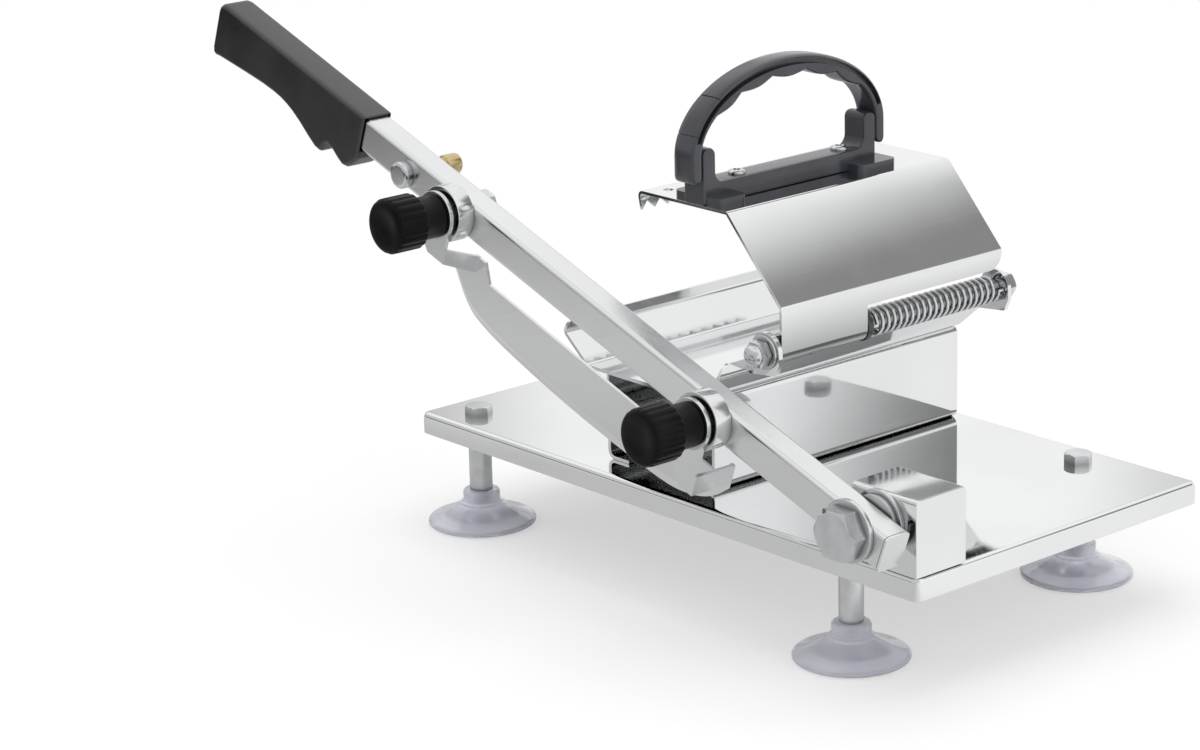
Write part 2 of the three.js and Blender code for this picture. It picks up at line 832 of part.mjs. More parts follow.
function handleGrip() {
  const outerHalf = archLength / 2;
  const innerHalf = outerHalf - archThickness;
  const outerSteps = 32;
  const innerSteps = 72;
  const legRound = archThickness / 2;
  const legEnd = archFootZ - archLegDrop + legRound;
  const shape = new THREE.Shape();
  shape.moveTo(handleY - outerHalf, legEnd);
  for (let step = 0; step <= outerSteps; step += 1) {
    const point = archPoint((Math.PI * step) / outerSteps, outerHalf, archRise);
    shape.lineTo(point.x, point.y);
  }
  shape.lineTo(handleY + outerHalf, legEnd);
  shape.absarc(handleY + outerHalf - legRound, legEnd, legRound, 0, -Math.PI, true);
  for (let step = innerSteps; step >= 0; step -= 1) {
    const angle = (Math.PI * step) / innerSteps;
    const wave = archWave(angle);
    const point = archPoint(angle, innerHalf - wave, archOpeningRise - wave);
    shape.lineTo(point.x, point.y);
  }
  shape.lineTo(handleY - innerHalf, legEnd);
  shape.absarc(handleY - outerHalf + legRound, legEnd, legRound, 0, -Math.PI, true);
  const arch = faceAlongX(roundedSlab(shape, archWidth, archRounding, 5), handleX - archWidth / 2);
  const nearChannel = archChannelTool(handleX + archWidth / 2 - archChannelDepth);
  const farChannel = archChannelTool(handleX - archWidth / 2 - cutMargin);
  return cut(arch, nearChannel, farChannel);
}

// Lays a slab drawn in Y and Z so that its depth runs along X from a start.
function faceAlongX(slab, start) {
  const axes = new THREE.Matrix4().makeBasis(
    new THREE.Vector3(0, 1, 0),
    new THREE.Vector3(0, 0, 1),
    new THREE.Vector3(1, 0, 0),
  );
  return slab.applyMatrix4(axes).translate(start, 0, 0);
}

function handlePad(y0, y1) {
  const halfWidth = handlePadWidth / 2;
  const outline = roundedRectangle(handleX - halfWidth, handleX + halfWidth, y0, y1, handlePadCorner);
  const pad = new THREE.ExtrudeGeometry(outline, { depth: handlePadHeight, bevelEnabled: false, curveSegments: 5 });
  return pad.translate(0, 0, coverTop);
}

function handleBase() {
  const postOuter = handlePostOuter;
  const postInner = postOuter - handlePostWidth;
  const postTop = archFootZ + handlePostRise;
  const barTop = coverTop + handleBarHeight;
  const fillet = handlePostFillet;
  const round = handlePostRound;
  const quarter = Math.PI / 2;
  const shape = new THREE.Shape();
  shape.moveTo(handleY - postOuter, coverTop);
  shape.lineTo(handleY + postOuter, coverTop);
  shape.absarc(handleY + postOuter - round, postTop - round, round, 0, quarter, false);
  shape.absarc(handleY + postInner + round, postTop - round, round, quarter, 2 * quarter, false);
  shape.absarc(handleY + postInner - fillet, barTop + fillet, fillet, 0, -quarter, true);
  shape.absarc(handleY - postInner + fillet, barTop + fillet, fillet, -quarter, -2 * quarter, true);
  shape.absarc(handleY - postInner - round, postTop - round, round, 0, quarter, false);
  shape.absarc(handleY - postOuter + round, postTop - round, round, quarter, 2 * quarter, false);
  shape.closePath();
  const slab = faceAlongX(roundedSlab(shape, handleBaseWidth, handleRounding, 5), handleX - handleBaseWidth / 2);
  const frontPadStart = handleY - postOuter + handleRounding;
  const rearPadEnd = handleY + postOuter + handlePadReach;
  const frontPad = handlePad(frontPadStart, frontPadStart + handlePadLength);
  const rearPad = handlePad(rearPadEnd - handlePadReach - handlePadLength, rearPadEnd);
  const screwHoles = handleScrewPlaces().map((y) => (
    barZ(handleScrewRadius + clearance, coverTop - cutMargin, barTop + cutMargin, handleX, y, 12)
  ));
  return cut(join(slab, frontPad, rearPad), ...screwHoles);
}

function handleScrew(y) {
  const barTop = coverTop + handleBarHeight;
  const end = coverTop - coverSheet - handleNutHeight - handleScrewTail;
  const head = barZ(handleScrewHeadRadius, barTop, barTop + handleScrewHeadHeight, handleX, y);
  return join(head, barZ(handleScrewRadius, end, barTop + joinOverlap, handleX, y, 12));
}

function handleNut(y) {
  const nut = new THREE.ExtrudeGeometry(hexagon(handleNutAcross, handleScrewRadius + clearance), {
    depth: handleNutHeight,
    bevelEnabled: false,
    curveSegments: 6,
  });
  return nut.translate(handleX, y, coverTop - coverSheet - handleNutHeight);
}

piece(slicer, "press_cover", pressCover(), steel);
piece(slicer, "handle_grip", handleGrip(), handlePlastic);
piece(slicer, "handle_base", handleBase(), handlePlastic);
const [frontScrewY, backScrewY] = handleScrewPlaces();
piece(slicer, "handle_screw_front", handleScrew(frontScrewY), bolts);
piece(slicer, "handle_screw_back", handleScrew(backScrewY), bolts);
piece(slicer, "handle_nut_front", handleNut(frontScrewY), bolts);
piece(slicer, "handle_nut_back", handleNut(backScrewY), bolts);

// Pivot bracket: a folded box on the base's corner, open to the left and below.
function pivotBracket() {
  const right = baseLength / 2 - bracketInset;
  const left = right - bracketWidth;
  const back = baseFront + bracketDepth;
  const top = baseTop + bracketHeight;
  const outline = roundedRectangle(baseFront, back, baseTop - bracketSheet, top, bracketSheet);
  const shell = alongX(outline, left, right, 3);
  const inside = block(
    left - cutMargin, right - bracketSheet,
    baseFront + bracketSheet, back - bracketSheet,
    0, top - bracketSheet,
  );
  const below = block(left - cutMargin, right + cutMargin, -baseWidth, 0, 0, baseTop);
  const hole = barY(pivotRadius + clearance, baseFront - cutMargin, baseFront + 2 * bracketSheet, pivotX, pivotZ);
  return cut(shell, inside, below, hole);
}
piece(slicer, "pivot_bracket", pivotBracket(), steel);

const pivot = new THREE.Group();
pivot.position.set(pivotX, 0, pivotZ);
slicer.add(pivot);
const frontWasherFace = armFront - pivotWasherThickness;
const springWasherY = armBack;
const flatWasherY = armBack + pivotWasherThickness;
const nutY = baseFront + bracketSheet;

function pivotBolt() {
  const head = alongY(hexagon(pivotHeadAcross), frontWasherFace - pivotHeadHeight, frontWasherFace);
  return join(head, barY(pivotRadius, frontWasherFace - joinOverlap, nutY + pivotNutHeight + pivotTail));
}
const pivotHole = pivotRadius + clearance;
piece(pivot, "pivot_bolt", pivotBolt(), bolts);
piece(pivot, "pivot_front_washer", ringY(pivotWasherRadius, pivotHole, frontWasherFace, armFront, 24), bolts);
const splitRing = ringY(springWasherRadius, pivotHole, springWasherY, flatWasherY, 24);
const split = block(
  0, springWasherRadius + cutMargin,
  springWasherY - cutMargin, flatWasherY + cutMargin,
  0, springWasherSplit,
);
piece(pivot, "pivot_spring_washer", cut(splitRing, split), bolts);
piece(pivot, "pivot_back_washer", ringY(pivotWasherRadius, pivotHole, flatWasherY, baseFront, 24), bolts);
const pivotNut = alongY(hexagon(pivotHeadAcross, pivotHole), nutY, nutY + pivotNutHeight);
piece(pivot, "pivot_nut", pivotNut, bolts);

// Arm: a square tube that turns on the pivot; along it, -X runs to the grip.
const arm = new THREE.Group();
arm.position.set(pivotX, 0, pivotZ);
arm.rotation.y = THREE.MathUtils.degToRad(armAngleDegrees);
slicer.add(arm);

function armTube() {
  const halfHeight = armHeight / 2;
  const outline = roundedRectangle(armFront, armBack, -halfHeight, halfHeight, armCorner);
  const bore = roundedRectangle(
    armFront + armWall, armBack - armWall,
    armWall - halfHeight, halfHeight - armWall,
    armCorner - armWall / 2,
  );
  outline.holes.push(bore);
  const tube = alongX(outline, -armReach, armTail, 3);
  const drill = (radius, reach, drop = 0) => barY(radius, armFront - cutMargin, armBack + cutMargin, -reach, -drop);
  return cut(
    tube,
    drill(pivotHole, 0),
    drill(studRadius + clearance, lowerStudReach),
    drill(studRadius + clearance, upperStudReach),
    drill(stopBoltRadius + clearance, stopReach, stopDrop),
  );
}
piece(arm, "arm_tube", armTube(), steel);

function armEndCap() {
  const halfHeight = armHeight / 2;
  const inner = armWall + clearance;
  const lip = roundedRectangle(armFront, armBack, -halfHeight, halfHeight, armCorner);
  const plug = roundedRectangle(
    armFront + inner, armBack - inner,
    inner - halfHeight, halfHeight - inner,
    armCorner - armWall / 2,
  );
  const start = armTail + clearance;
  return join(alongX(lip, start, start + armCapLip, 3), alongX(plug, start - armCapPlug, start + armCapLip / 2, 3));
}
piece(arm, "arm_end_cap", armEndCap(), steel);

function armGrip() {
  const underside = new THREE.SplineCurve(
    gripUnderside.map(([reach, drop]) => new THREE.Vector2(-gripStart - reach, -drop)),
  );
  const end = -gripStart - gripLength;
  const shape = new THREE.Shape();
  shape.moveTo(-gripStart, gripTop);
  underside.getPoints(21).forEach((point) => shape.lineTo(point.x, point.y));
  shape.quadraticCurveTo(end, -gripHeel, end, gripEndRadius - gripHeel);
  shape.lineTo(end, gripTop - gripEndRadius);
  shape.quadraticCurveTo(end, gripTop, end + gripEndRadius, gripTop);
  const slab = roundedSlab(shape, armDepth + 2 * gripWall, gripRounding, 3);
  slab.rotateX(Math.PI / 2).translate(0, armBack + gripWall, 0);
  const fit = clearance;
  const socket = block(
    -armReach - fit, -gripStart + cutMargin,
    armFront - fit, armBack + fit,
    -armHeight / 2 - fit, armHeight / 2 + fit,
  );
  return cut(slab, socket);
}
piece(arm, "arm_grip", armGrip(), blackPlastic);

// Stop: a bolt through the arm holds a brass peg that lands on the base.
function stopBolt() {
  const head = barY(stopHeadRadius, armFront - stopHeadHeight, armFront);
  return join(head, barY(stopBoltRadius, armFront - joinOverlap, armBack + brassLength - brassEnd, 0, 0, 12));
}
piece(arm, "stop_bolt", stopBolt(), bolts).position.set(-stopReach, 0, -stopDrop);
const peg = turnedY([
  [brassRadius, armBack],
  [brassRadius, armBack + brassLength - brassChamfer],
  [brassRadius - brassChamfer, armBack + brassLength],
  [0, armBack + brassLength],
  [0, armBack + brassLength - brassEnd + clearance],
  [stopBoltRadius + clearance, armBack + brassLength - brassEnd + clearance],
  [stopBoltRadius + clearance, armBack],
  [brassRadius, armBack],
]);
piece(arm, "brass_stop", peg, brass).position.set(-stopReach, 0, -stopDrop);

// Knob: a fluted head on a neck, with a blind bore for its stud.
function knob() {
  const back = washerFront;
  const shoulder = back - knobNeckLength;
  const body = turnedY([
    [0, knobFront],
    [knobRadius - knobEdge, knobFront],
    [knobRadius, knobFront + knobEdge],
    [knobRadius, shoulder - knobEdge],
    [knobRadius - knobEdge, shoulder],
    [knobNeckRadius, shoulder],
    [knobNeckRadius, back],
    [studRadius + clearance, back],
    [studRadius + clearance, back - knobBore],
    [0, back - knobBore],
  ], 2 * knobFlutes);
  const flutes = Array.from({ length: knobFlutes }, (_, index) => {
    const angle = (2 * Math.PI * index) / knobFlutes;
    const reach = knobRadius + knobFluteRadius - knobFluteDepth;
    const x = reach * Math.cos(angle);
    return barY(knobFluteRadius, knobFront - cutMargin, shoulder + cutMargin, x, reach * Math.sin(angle), 4);
  });
  return cut(body, ...flutes);
}

// Clamps: each stud passes through the arm, a boss, the blade's ear and a washer into its knob.
for (const [place, reach] of [["lower", lowerStudReach], ["upper", upperStudReach]]) {
  const clamp = new THREE.Group();
  clamp.position.set(-reach, 0, 0);
  arm.add(clamp);
  const hole = studRadius + clearance;
  const studFront = washerFront - knobBore + studEndGap;
  piece(clamp, `${place}_boss`, ringY(bossRadius, hole, bossFront, armFront, 24), steel);
  piece(clamp, `${place}_stud`, barY(studRadius, studFront, studBack), bolts);
  const nut = alongY(hexagon(studNutAcross, hole), armBack, armBack + studNutHeight);
  piece(clamp, `${place}_stud_nut`, nut, bolts);
  piece(clamp, `${place}_knob_washer`, ringY(clampWasherRadius, hole, washerFront, earFront, 24), bolts);
  piece(clamp, `${place}_knob`, knob(), blackPlastic);
}

// Closed solid through rings of points from front to back, with flat ends.
function loft(outlines) {
  const flatten = (ring) => ring.map((point) => new THREE.Vector2(point.x, point.z));
  const clockwise = THREE.ShapeUtils.isClockWise(flatten(outlines[0]));
  const rings = clockwise ? outlines.map((ring) => [...ring].reverse()) : outlines;
  const sides = rings[0].length;
  const positions = rings.flat().flatMap((point) => [point.x, point.y, point.z]);
  const index = [];
  for (let ring = 0; ring < rings.length - 1; ring += 1) {
    for (let side = 0; side < sides; side += 1) {
      const here = ring * sides + side;
      const beside = ring * sides + ((side + 1) % sides);
      index.push(here, here + sides, beside, beside, here + sides, beside + sides);
    }
  }
  const last = (rings.length - 1) * sides;
  for (const [a, b, c] of THREE.ShapeUtils.triangulateShape(flatten(rings[0]), [])) {
    index.push(a, b, c);
  }
  for (const [a, b, c] of THREE.ShapeUtils.triangulateShape(flatten(rings.at(-1)), [])) {
    index.push(last + a, last + c, last + b);
  }
  const geometry = new THREE.BufferGeometry();
  geometry.setAttribute("position", new THREE.Float32BufferAttribute(positions, 3));
  geometry.setIndex(index);
  geometry.computeVertexNormals();
  return geometry;
}

// Blade: a bow-edged strip behind the arm, ground along its edge, with a folded ear at each clamp.
function bladeStrip() {
  const lowEnd = lowerStudReach - bladeEarHalfWidth - bladeSheet / 2;
  const highEnd = upperStudReach - bladeUpperEndInset;
  const highSlope = highEnd - bladeUpperShoulder;
  const lowSlope = lowEnd + bladeLowerShoulder;
  const back = [
    [highEnd, bladeShoulderDrop],
    [highSlope, bladeShoulderDrop],
    [highSlope - bladeShoulderSlope, bladeSpineDrop],
    [lowSlope + bladeShoulderSlope, bladeSpineDrop],
    [lowSlope, bladeShoulderDrop],
    [lowEnd, bladeShoulderDrop],
  ];
  const tip = bladeTip.map(([reach, drop]) => new THREE.Vector2(upperStudReach + reach, bladeShoulderDrop + drop));
  const heel = bladeHeel.map(([reach, drop]) => new THREE.Vector2(lowEnd + reach, bladeShoulderDrop + drop));
  const edge = new THREE.SplineCurve([...tip, ...heel]).getPoints(bladeEdgeSteps).reverse();
  const ring = (y, inset) => [
    ...back.map(([reach, drop]) => new THREE.Vector3(-reach, y, -drop)),
    ...edge.map((point) => new THREE.Vector3(-point.x, y, inset - point.y)),
  ];
  return loft([ring(bladeFront, bladeBevel), ring(bladeBack - bladeEdgeLand, 0), ring(bladeBack, 0)]);
}

function bladeEar(reach, drop, cutRun) {
  const shape = new THREE.Shape();
  const left = -reach - bladeEarHalfWidth;
  const right = -reach + bladeEarHalfWidth;
  shape.moveTo(right, -drop);
  shape.lineTo(right, 0);
  shape.absarc(-reach, 0, bladeEarHalfWidth, 0, Math.PI, false);
  shape.lineTo(left, cutRun - drop);
  shape.lineTo(left + cutRun, -drop);
  shape.closePath();
  const hole = new THREE.Path();
  hole.absarc(-reach, 0, studRadius + clearance, 0, 2 * Math.PI, false);
  shape.holes.push(hole);
  return alongY(shape, earFront, bossFront);
}

function bladeRiser(reach, frontTop, frontDrop, backTop, backDrop) {
  const shape = new THREE.Shape();
  shape.moveTo(earFront, -frontTop);
  shape.lineTo(bladeBack, -backTop);
  shape.lineTo(bladeBack, -backDrop);
  shape.lineTo(earFront, -frontDrop);
  const edge = -reach + bladeEarHalfWidth;
  return alongX(shape, edge - bladeSheet / 2, edge + bladeSheet / 2);
}

function blade() {
  return join(
    bladeStrip(),
    bladeEar(lowerStudReach, lowerEarDrop, lowerEarCut),
    bladeRiser(lowerStudReach, bladeShoulderDrop, lowerEarDrop, bladeShoulderDrop, lowerEarDrop),
    bladeEar(upperStudReach, upperEarDrop, upperEarCut),
    bladeRiser(upperStudReach, bossRadius, upperEarDrop, bladeShoulderDrop, bladeSpineDrop),
  );
}
piece(arm, "blade", blade(), steel);

// The origin is on the floor, under the middle of the whole slicer.
const extent = new THREE.Box3().setFromObject(slicer, true);
slicer.position.set(-(extent.min.x + extent.max.x) / 2, -(extent.min.y + extent.max.y) / 2, -extent.min.z);

export default slicer;
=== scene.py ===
"""Looks of the hand crank meat slicer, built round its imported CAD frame.

Lengths are in metres, written as millimetres times MM, except where a comment says millimetres.
"""

import json
import math

import bmesh
import bpy
from mathutils import Matrix, Vector

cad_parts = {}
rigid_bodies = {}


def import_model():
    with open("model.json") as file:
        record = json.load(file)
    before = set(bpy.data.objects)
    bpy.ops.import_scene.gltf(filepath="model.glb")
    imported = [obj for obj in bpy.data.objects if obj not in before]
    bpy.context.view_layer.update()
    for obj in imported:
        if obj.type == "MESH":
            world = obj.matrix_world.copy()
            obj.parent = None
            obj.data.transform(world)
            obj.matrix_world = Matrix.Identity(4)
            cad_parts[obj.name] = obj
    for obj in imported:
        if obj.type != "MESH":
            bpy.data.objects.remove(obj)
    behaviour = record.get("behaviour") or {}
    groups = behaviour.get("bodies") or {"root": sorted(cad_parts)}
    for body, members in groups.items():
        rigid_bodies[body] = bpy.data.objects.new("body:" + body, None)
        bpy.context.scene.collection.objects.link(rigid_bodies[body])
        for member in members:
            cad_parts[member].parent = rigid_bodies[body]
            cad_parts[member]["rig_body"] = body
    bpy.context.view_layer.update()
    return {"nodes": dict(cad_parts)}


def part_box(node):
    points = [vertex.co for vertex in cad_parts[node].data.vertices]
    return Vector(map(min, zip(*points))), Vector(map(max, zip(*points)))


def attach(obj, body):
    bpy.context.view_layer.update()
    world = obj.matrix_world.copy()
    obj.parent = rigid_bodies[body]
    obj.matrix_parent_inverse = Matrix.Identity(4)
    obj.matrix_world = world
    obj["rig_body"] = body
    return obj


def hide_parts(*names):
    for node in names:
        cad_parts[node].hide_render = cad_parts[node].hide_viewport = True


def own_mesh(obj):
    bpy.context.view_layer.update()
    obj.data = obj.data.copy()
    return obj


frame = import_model()

MM = 0.001

# Photograph's frame and the camera matched to it
PHOTO_WIDTH = 1200
PHOTO_HEIGHT = 750
FOCAL_PIXELS = 3500.0
PRINCIPAL_POINT = (678.65, 321.12)
CAMERA_AZIMUTH = math.radians(47.98)
CAMERA_ELEVATION = math.radians(16.033)
CAMERA_ROLL = math.radians(-1.065)
CAMERA_OFFSET = Vector((49.812, -98.972, -1482.569)) * MM
CAMERA_SENSOR = 36.0

# Slope of the arm at rest, which its grain and its nuts follow
ARM_SLOPE = math.radians(19.83)

# Finishing sizes of turned pieces
TURNED_EDGE = 0.3 * MM
THREAD_PITCH = 1.25 * MM
THREAD_DEPTH = 0.35 * MM

# Steps that clean a node's mesh
MERGE_DISTANCE = 0.002 * MM
FLAT_ANGLE = math.radians(0.3)

# Most of an edge that the arc at its corner may take
CORNER_SHARE = 0.45


def add_camera():
    """The photograph's camera, as fitted to the slicer's corners from the middle of its base."""
    azimuth, elevation = CAMERA_AZIMUTH, CAMERA_ELEVATION
    back = Vector((
        math.sin(azimuth) * math.cos(elevation),
        -math.cos(azimuth) * math.cos(elevation),
        math.sin(elevation),
    ))
    level = Vector((math.cos(azimuth), math.sin(azimuth), 0.0))
    upward = back.cross(level)
    right = math.cos(CAMERA_ROLL) * level + math.sin(CAMERA_ROLL) * upward
    up = -math.sin(CAMERA_ROLL) * level + math.cos(CAMERA_ROLL) * upward
    turn = Matrix((right, up, back)).transposed()
    data = bpy.data.cameras.new("camera")
    data.sensor_width = CAMERA_SENSOR
    data.lens = CAMERA_SENSOR * FOCAL_PIXELS / PHOTO_WIDTH
    data.shift_x = (PHOTO_WIDTH / 2 - PRINCIPAL_POINT[0]) / PHOTO_WIDTH
    data.shift_y = (PRINCIPAL_POINT[1] - PHOTO_HEIGHT / 2) / PHOTO_WIDTH
    data.clip_start = 0.01
    data.clip_end = 50.0
    camera = bpy.data.objects.new("camera", data)
    low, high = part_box("base_plate")
    base_middle = Vector(((low.x + high.x) / 2, (low.y + high.y) / 2, 0.0))
    camera.matrix_world = Matrix.Translation(base_middle - turn @ CAMERA_OFFSET) @ turn.to_4x4()
    bpy.context.scene.collection.objects.link(camera)
    bpy.context.scene.camera = camera


add_camera()


# Materials

EVEN = (1.0, 1.0, 1.0)
ALONG_X = (0.04, 1.0, 1.0)
ALONG_Y = (1.0, 0.04, 1.0)
ALONG_Z = (1.0, 1.0, 0.04)

# Values between which most of a noise lies
NOISE_CORE = (0.35, 0.65)
NOISE_MOST = (0.3, 0.7)

# Sockets of the colour mix node
MIX_AMOUNT, MIX_FIRST, MIX_SECOND, MIX_RESULT = 0, 6, 7, 2


class Nodes:
    """The node tree of a material or a world, with short calls that add and link nodes."""

    def __init__(self, owner):
        owner.use_nodes = True
        self.owner = owner
        self.tree = owner.node_tree
        self.shader = self.tree.nodes.get("Principled BSDF")

    def add(self, kind, **values):
        node = self.tree.nodes.new(kind)
        for key, value in values.items():
            setattr(node, key, value)
        return node

    def give(self, value, target):
        """Sets an input to a number or a colour, or links an output to it."""
        if isinstance(value, (int, float)):
            target.default_value = value
        elif isinstance(value, tuple):
            target.default_value = (*value, 1.0)
        else:
            self.tree.links.new(value, target)

    def set(self, **values):
        """Gives inputs of the shader, with their names' spaces written as underscores."""
        for key, value in values.items():
            self.give(value, self.shader.inputs[key.replace("_", " ")])

    def place(self, stretch=EVEN, turn=0.0):
        """The piece's own coordinates, stretched, after a turn about Y."""
        coordinates = self.add("ShaderNodeTexCoord")
        mapping = self.add("ShaderNodeMapping")
        mapping.inputs["Rotation"].default_value = (0.0, turn, 0.0)
        self.give(coordinates.outputs["Object"], mapping.inputs["Vector"])
        scaling = self.add("ShaderNodeVectorMath", operation="MULTIPLY")
        scaling.inputs[1].default_value = stretch
        self.give(mapping.outputs[0], scaling.inputs[0])
        return scaling.outputs[0]

    def parts(self, vector):
        """A vector's x, y and z."""
        node = self.add("ShaderNodeSeparateXYZ")
        self.give(vector, node.inputs[0])
        return node.outputs

    def height(self):
        """The piece's own z."""
        return self.parts(self.place())[2]

    def noise(self, scale, detail, stretch=EVEN, turn=0.0):
        node = self.add("ShaderNodeTexNoise")
        node.inputs["Scale"].default_value = scale
        node.inputs["Detail"].default_value = detail
        self.give(self.place(stretch, turn), node.inputs["Vector"])
        return node.outputs["Fac"]

    def range(self, value, from_low, from_high, to_low=0.0, to_high=1.0):
        """A value's straight change from one span to another, held at both ends."""
        node = self.add("ShaderNodeMapRange")
        names = ("Value", "From Min", "From Max", "To Min", "To Max")
        for name, given in zip(names, (value, from_low, from_high, to_low, to_high)):
            self.give(given, node.inputs[name])
        return node.outputs[0]

    def ease(self, value, low, high):
        """0 at low and 1 at high, with a soft start and end."""
        node = self.add("ShaderNodeMapRange", interpolation_type="SMOOTHSTEP")
        for name, given in zip(("Value", "From Min", "From Max"), (value, low, high)):
            self.give(given, node.inputs[name])
        return node.outputs[0]

    def window(self, value, start, full, still, end):
        """1 between full and still, fading softly to 0 at start and end."""
        return self.product(self.ease(value, start, full), self.complement(self.ease(value, still, end)))

    def math(self, operation, first, second=0.0):
        node = self.add("ShaderNodeMath", operation=operation)
        self.give(first, node.inputs[0])
        self.give(second, node.inputs[1])
        return node.outputs[0]

    def product(self, first, *others):
        for other in others:
            first = self.math("MULTIPLY", first, other)
        return first

    def complement(self, value):
        """What a value leaves of 1."""
        return self.math("SUBTRACT", 1.0, value)

    def blend(self, amount, first, second):
        """A colour between two, the second where the amount is 1."""
        node = self.add("ShaderNodeMix", data_type="RGBA")
        for given, socket in ((amount, MIX_AMOUNT), (first, MIX_FIRST), (second, MIX_SECOND)):
            self.give(given, node.inputs[socket])
        return node.outputs[MIX_RESULT]

    def dim(self, colour, amount):
        """A colour times an amount."""
        node = self.add("ShaderNodeVectorMath", operation="SCALE")
        self.give(colour, node.inputs[0])
        self.give(amount, node.inputs["Scale"])
        return node.outputs[0]

    def mix_shaders(self, amount, first, second):
        node = self.add("ShaderNodeMixShader")
        for output, target in zip((amount, first, second), node.inputs):
            self.give(output, target)
        return node.outputs[0]

    def white(self, kind, strength=1.0):
        """A white emission or background."""
        node = self.add(kind)
        self.give((1.0, 1.0, 1.0), node.inputs["Color"])
        self.give(strength, node.inputs["Strength"])
        return node.outputs[0]

    def bump(self, height, depth, before=None):
        """A bump whose full height stands depth proud."""
        node = self.add("ShaderNodeBump")
        node.inputs["Strength"].default_value = 1.0
        node.inputs["Distance"].default_value = depth
        self.give(height, node.inputs["Height"])
        if before is not None:
            self.give(before, node.inputs["Normal"])
        return node.outputs[0]

    def crown(self, middle, half, rise, before):
        """A bump that swells a sheet round a middle height, as far as half below and above it."""
        offset = self.math("SUBTRACT", self.height(), middle)
        offset = self.math("MINIMUM", self.math("MAXIMUM", offset, -half), half)
        share = self.math("DIVIDE", offset, half)
        return self.bump(self.product(share, share, -1.0), rise, before)

    def recess(self, reach, dark, shut=0.35, free=0.95):
        """Painted shade: 1 on open faces, falling to dark where other faces within reach shut them in."""
        shade = self.add("ShaderNodeAmbientOcclusion", samples=10)
        shade.inputs["Distance"].default_value = reach
        return self.range(shade.outputs["AO"], shut, free, dark, 1.0)

    def edges(self, radius):
        """1 at the rounded edges of the piece and 0 on its faces."""
        bevel = self.add("ShaderNodeBevel", samples=6)
        bevel.inputs["Radius"].default_value = radius
        geometry = self.add("ShaderNodeNewGeometry")
        agreement = self.add("ShaderNodeVectorMath", operation="DOT_PRODUCT")
        self.give(bevel.outputs[0], agreement.inputs[0])
        self.give(geometry.outputs["Normal"], agreement.inputs[1])
        return self.range(agreement.outputs["Value"], 0.995, 0.9)


def new_material(name):
    return Nodes(bpy.data.materials.new(name))


def scaled(tint, amount, lift=0.0):
    """A tint made lighter or darker, no lighter than white."""
    return tuple(min(1.0, amount * value + lift) for value in tint)


def sheet_steel(
    name, tint, grain, gloss, brush, turn=0.0, bow=0.0, swell=None, fall=None, hollow_shade_reach=None
):
    """Rolled steel: faint grain along the sheet, smudges, hairline scratches and edges coloured lighter as a
    painted highlight.

    gloss is the least and greatest roughness, brush and turn lay the grain, bow is the height of
    slow waves, swell is a crown, fall is a low and a high z with the share of the colour left at the
    low one, painted shade towards the bottom, and inside is how near other faces darken a hollow
    with painted shade.
    """
    nodes = new_material(name)
    smudge = nodes.noise(scale=14.0, detail=3.0)
    film = nodes.noise(scale=55.0, detail=5.0)
    lines = nodes.noise(scale=900.0, detail=2.0, stretch=brush, turn=turn)
    hairs = nodes.noise(scale=260.0, detail=2.0, stretch=brush, turn=turn)
    scratch = nodes.range(hairs, 0.66, 0.7)
    worn = nodes.blend(nodes.range(smudge, *NOISE_CORE), scaled(tint, 0.95), tint)
    # Edges are coloured lighter: a painted highlight.
    colour = nodes.blend(nodes.product(nodes.edges(0.5 * MM), 0.6), worn, scaled(tint, 1.08))
    # Hollows are darkened with painted shade where other faces come near.
    if hollow_shade_reach:
        colour = nodes.dim(colour, nodes.recess(hollow_shade_reach, dark=0.12, shut=0.06, free=0.26))
    # Painted shade: the colour darkens towards the bottom, between the low and the high z.
    if fall:
        low, high, left = fall
        colour = nodes.dim(colour, nodes.range(nodes.height(), low, high, left, 1.0))
    smooth = nodes.range(film, 0.35, 0.7, *gloss)
    grainy = nodes.math("ADD", smooth, nodes.range(lines, *NOISE_MOST, -grain, grain))
    rough = nodes.math("ADD", grainy, nodes.product(scratch, 0.03))
    normal = nodes.bump(lines, 0.1 * grain * MM)
    normal = nodes.bump(scratch, 0.2 * grain * MM, normal)
    if bow:
        normal = nodes.bump(nodes.noise(scale=7.0, detail=0.0), bow, normal)
    if swell:
        normal = nodes.crown(*swell, normal)
    nodes.set(Base_Color=colour, Roughness=nodes.math("MAXIMUM", rough, 0.02), Normal=normal, Metallic=1.0)
    return nodes.owner


def turned_steel(name, tint, gloss):
    """Zinc plated fasteners: slight colour drift, fine turning marks, edges coloured lighter as a painted
    highlight and painted shade where other faces come near.
    """
    nodes = new_material(name)
    drift = nodes.noise(scale=120.0, detail=4.0)
    speck = nodes.noise(scale=1400.0, detail=3.0)
    plating = nodes.blend(nodes.range(drift, *NOISE_CORE), scaled(tint, 0.86), tint)
    # Edges are coloured lighter: a painted highlight.
    colour = nodes.blend(nodes.product(nodes.edges(0.4 * MM), 0.5), plating, scaled(tint, 1.15))
    smooth = nodes.range(drift, *NOISE_MOST, *gloss)
    # The colour darkens as painted shade where other faces lie within 5 mm.
    nodes.set(
        Base_Color=nodes.dim(colour, nodes.recess(5.0 * MM, dark=0.35)),
        Roughness=nodes.math("ADD", smooth, nodes.range(speck, *NOISE_MOST, -0.03, 0.05)),
        Normal=nodes.bump(speck, 0.008 * MM),
        Metallic=1.0,
    )
    return nodes.owner


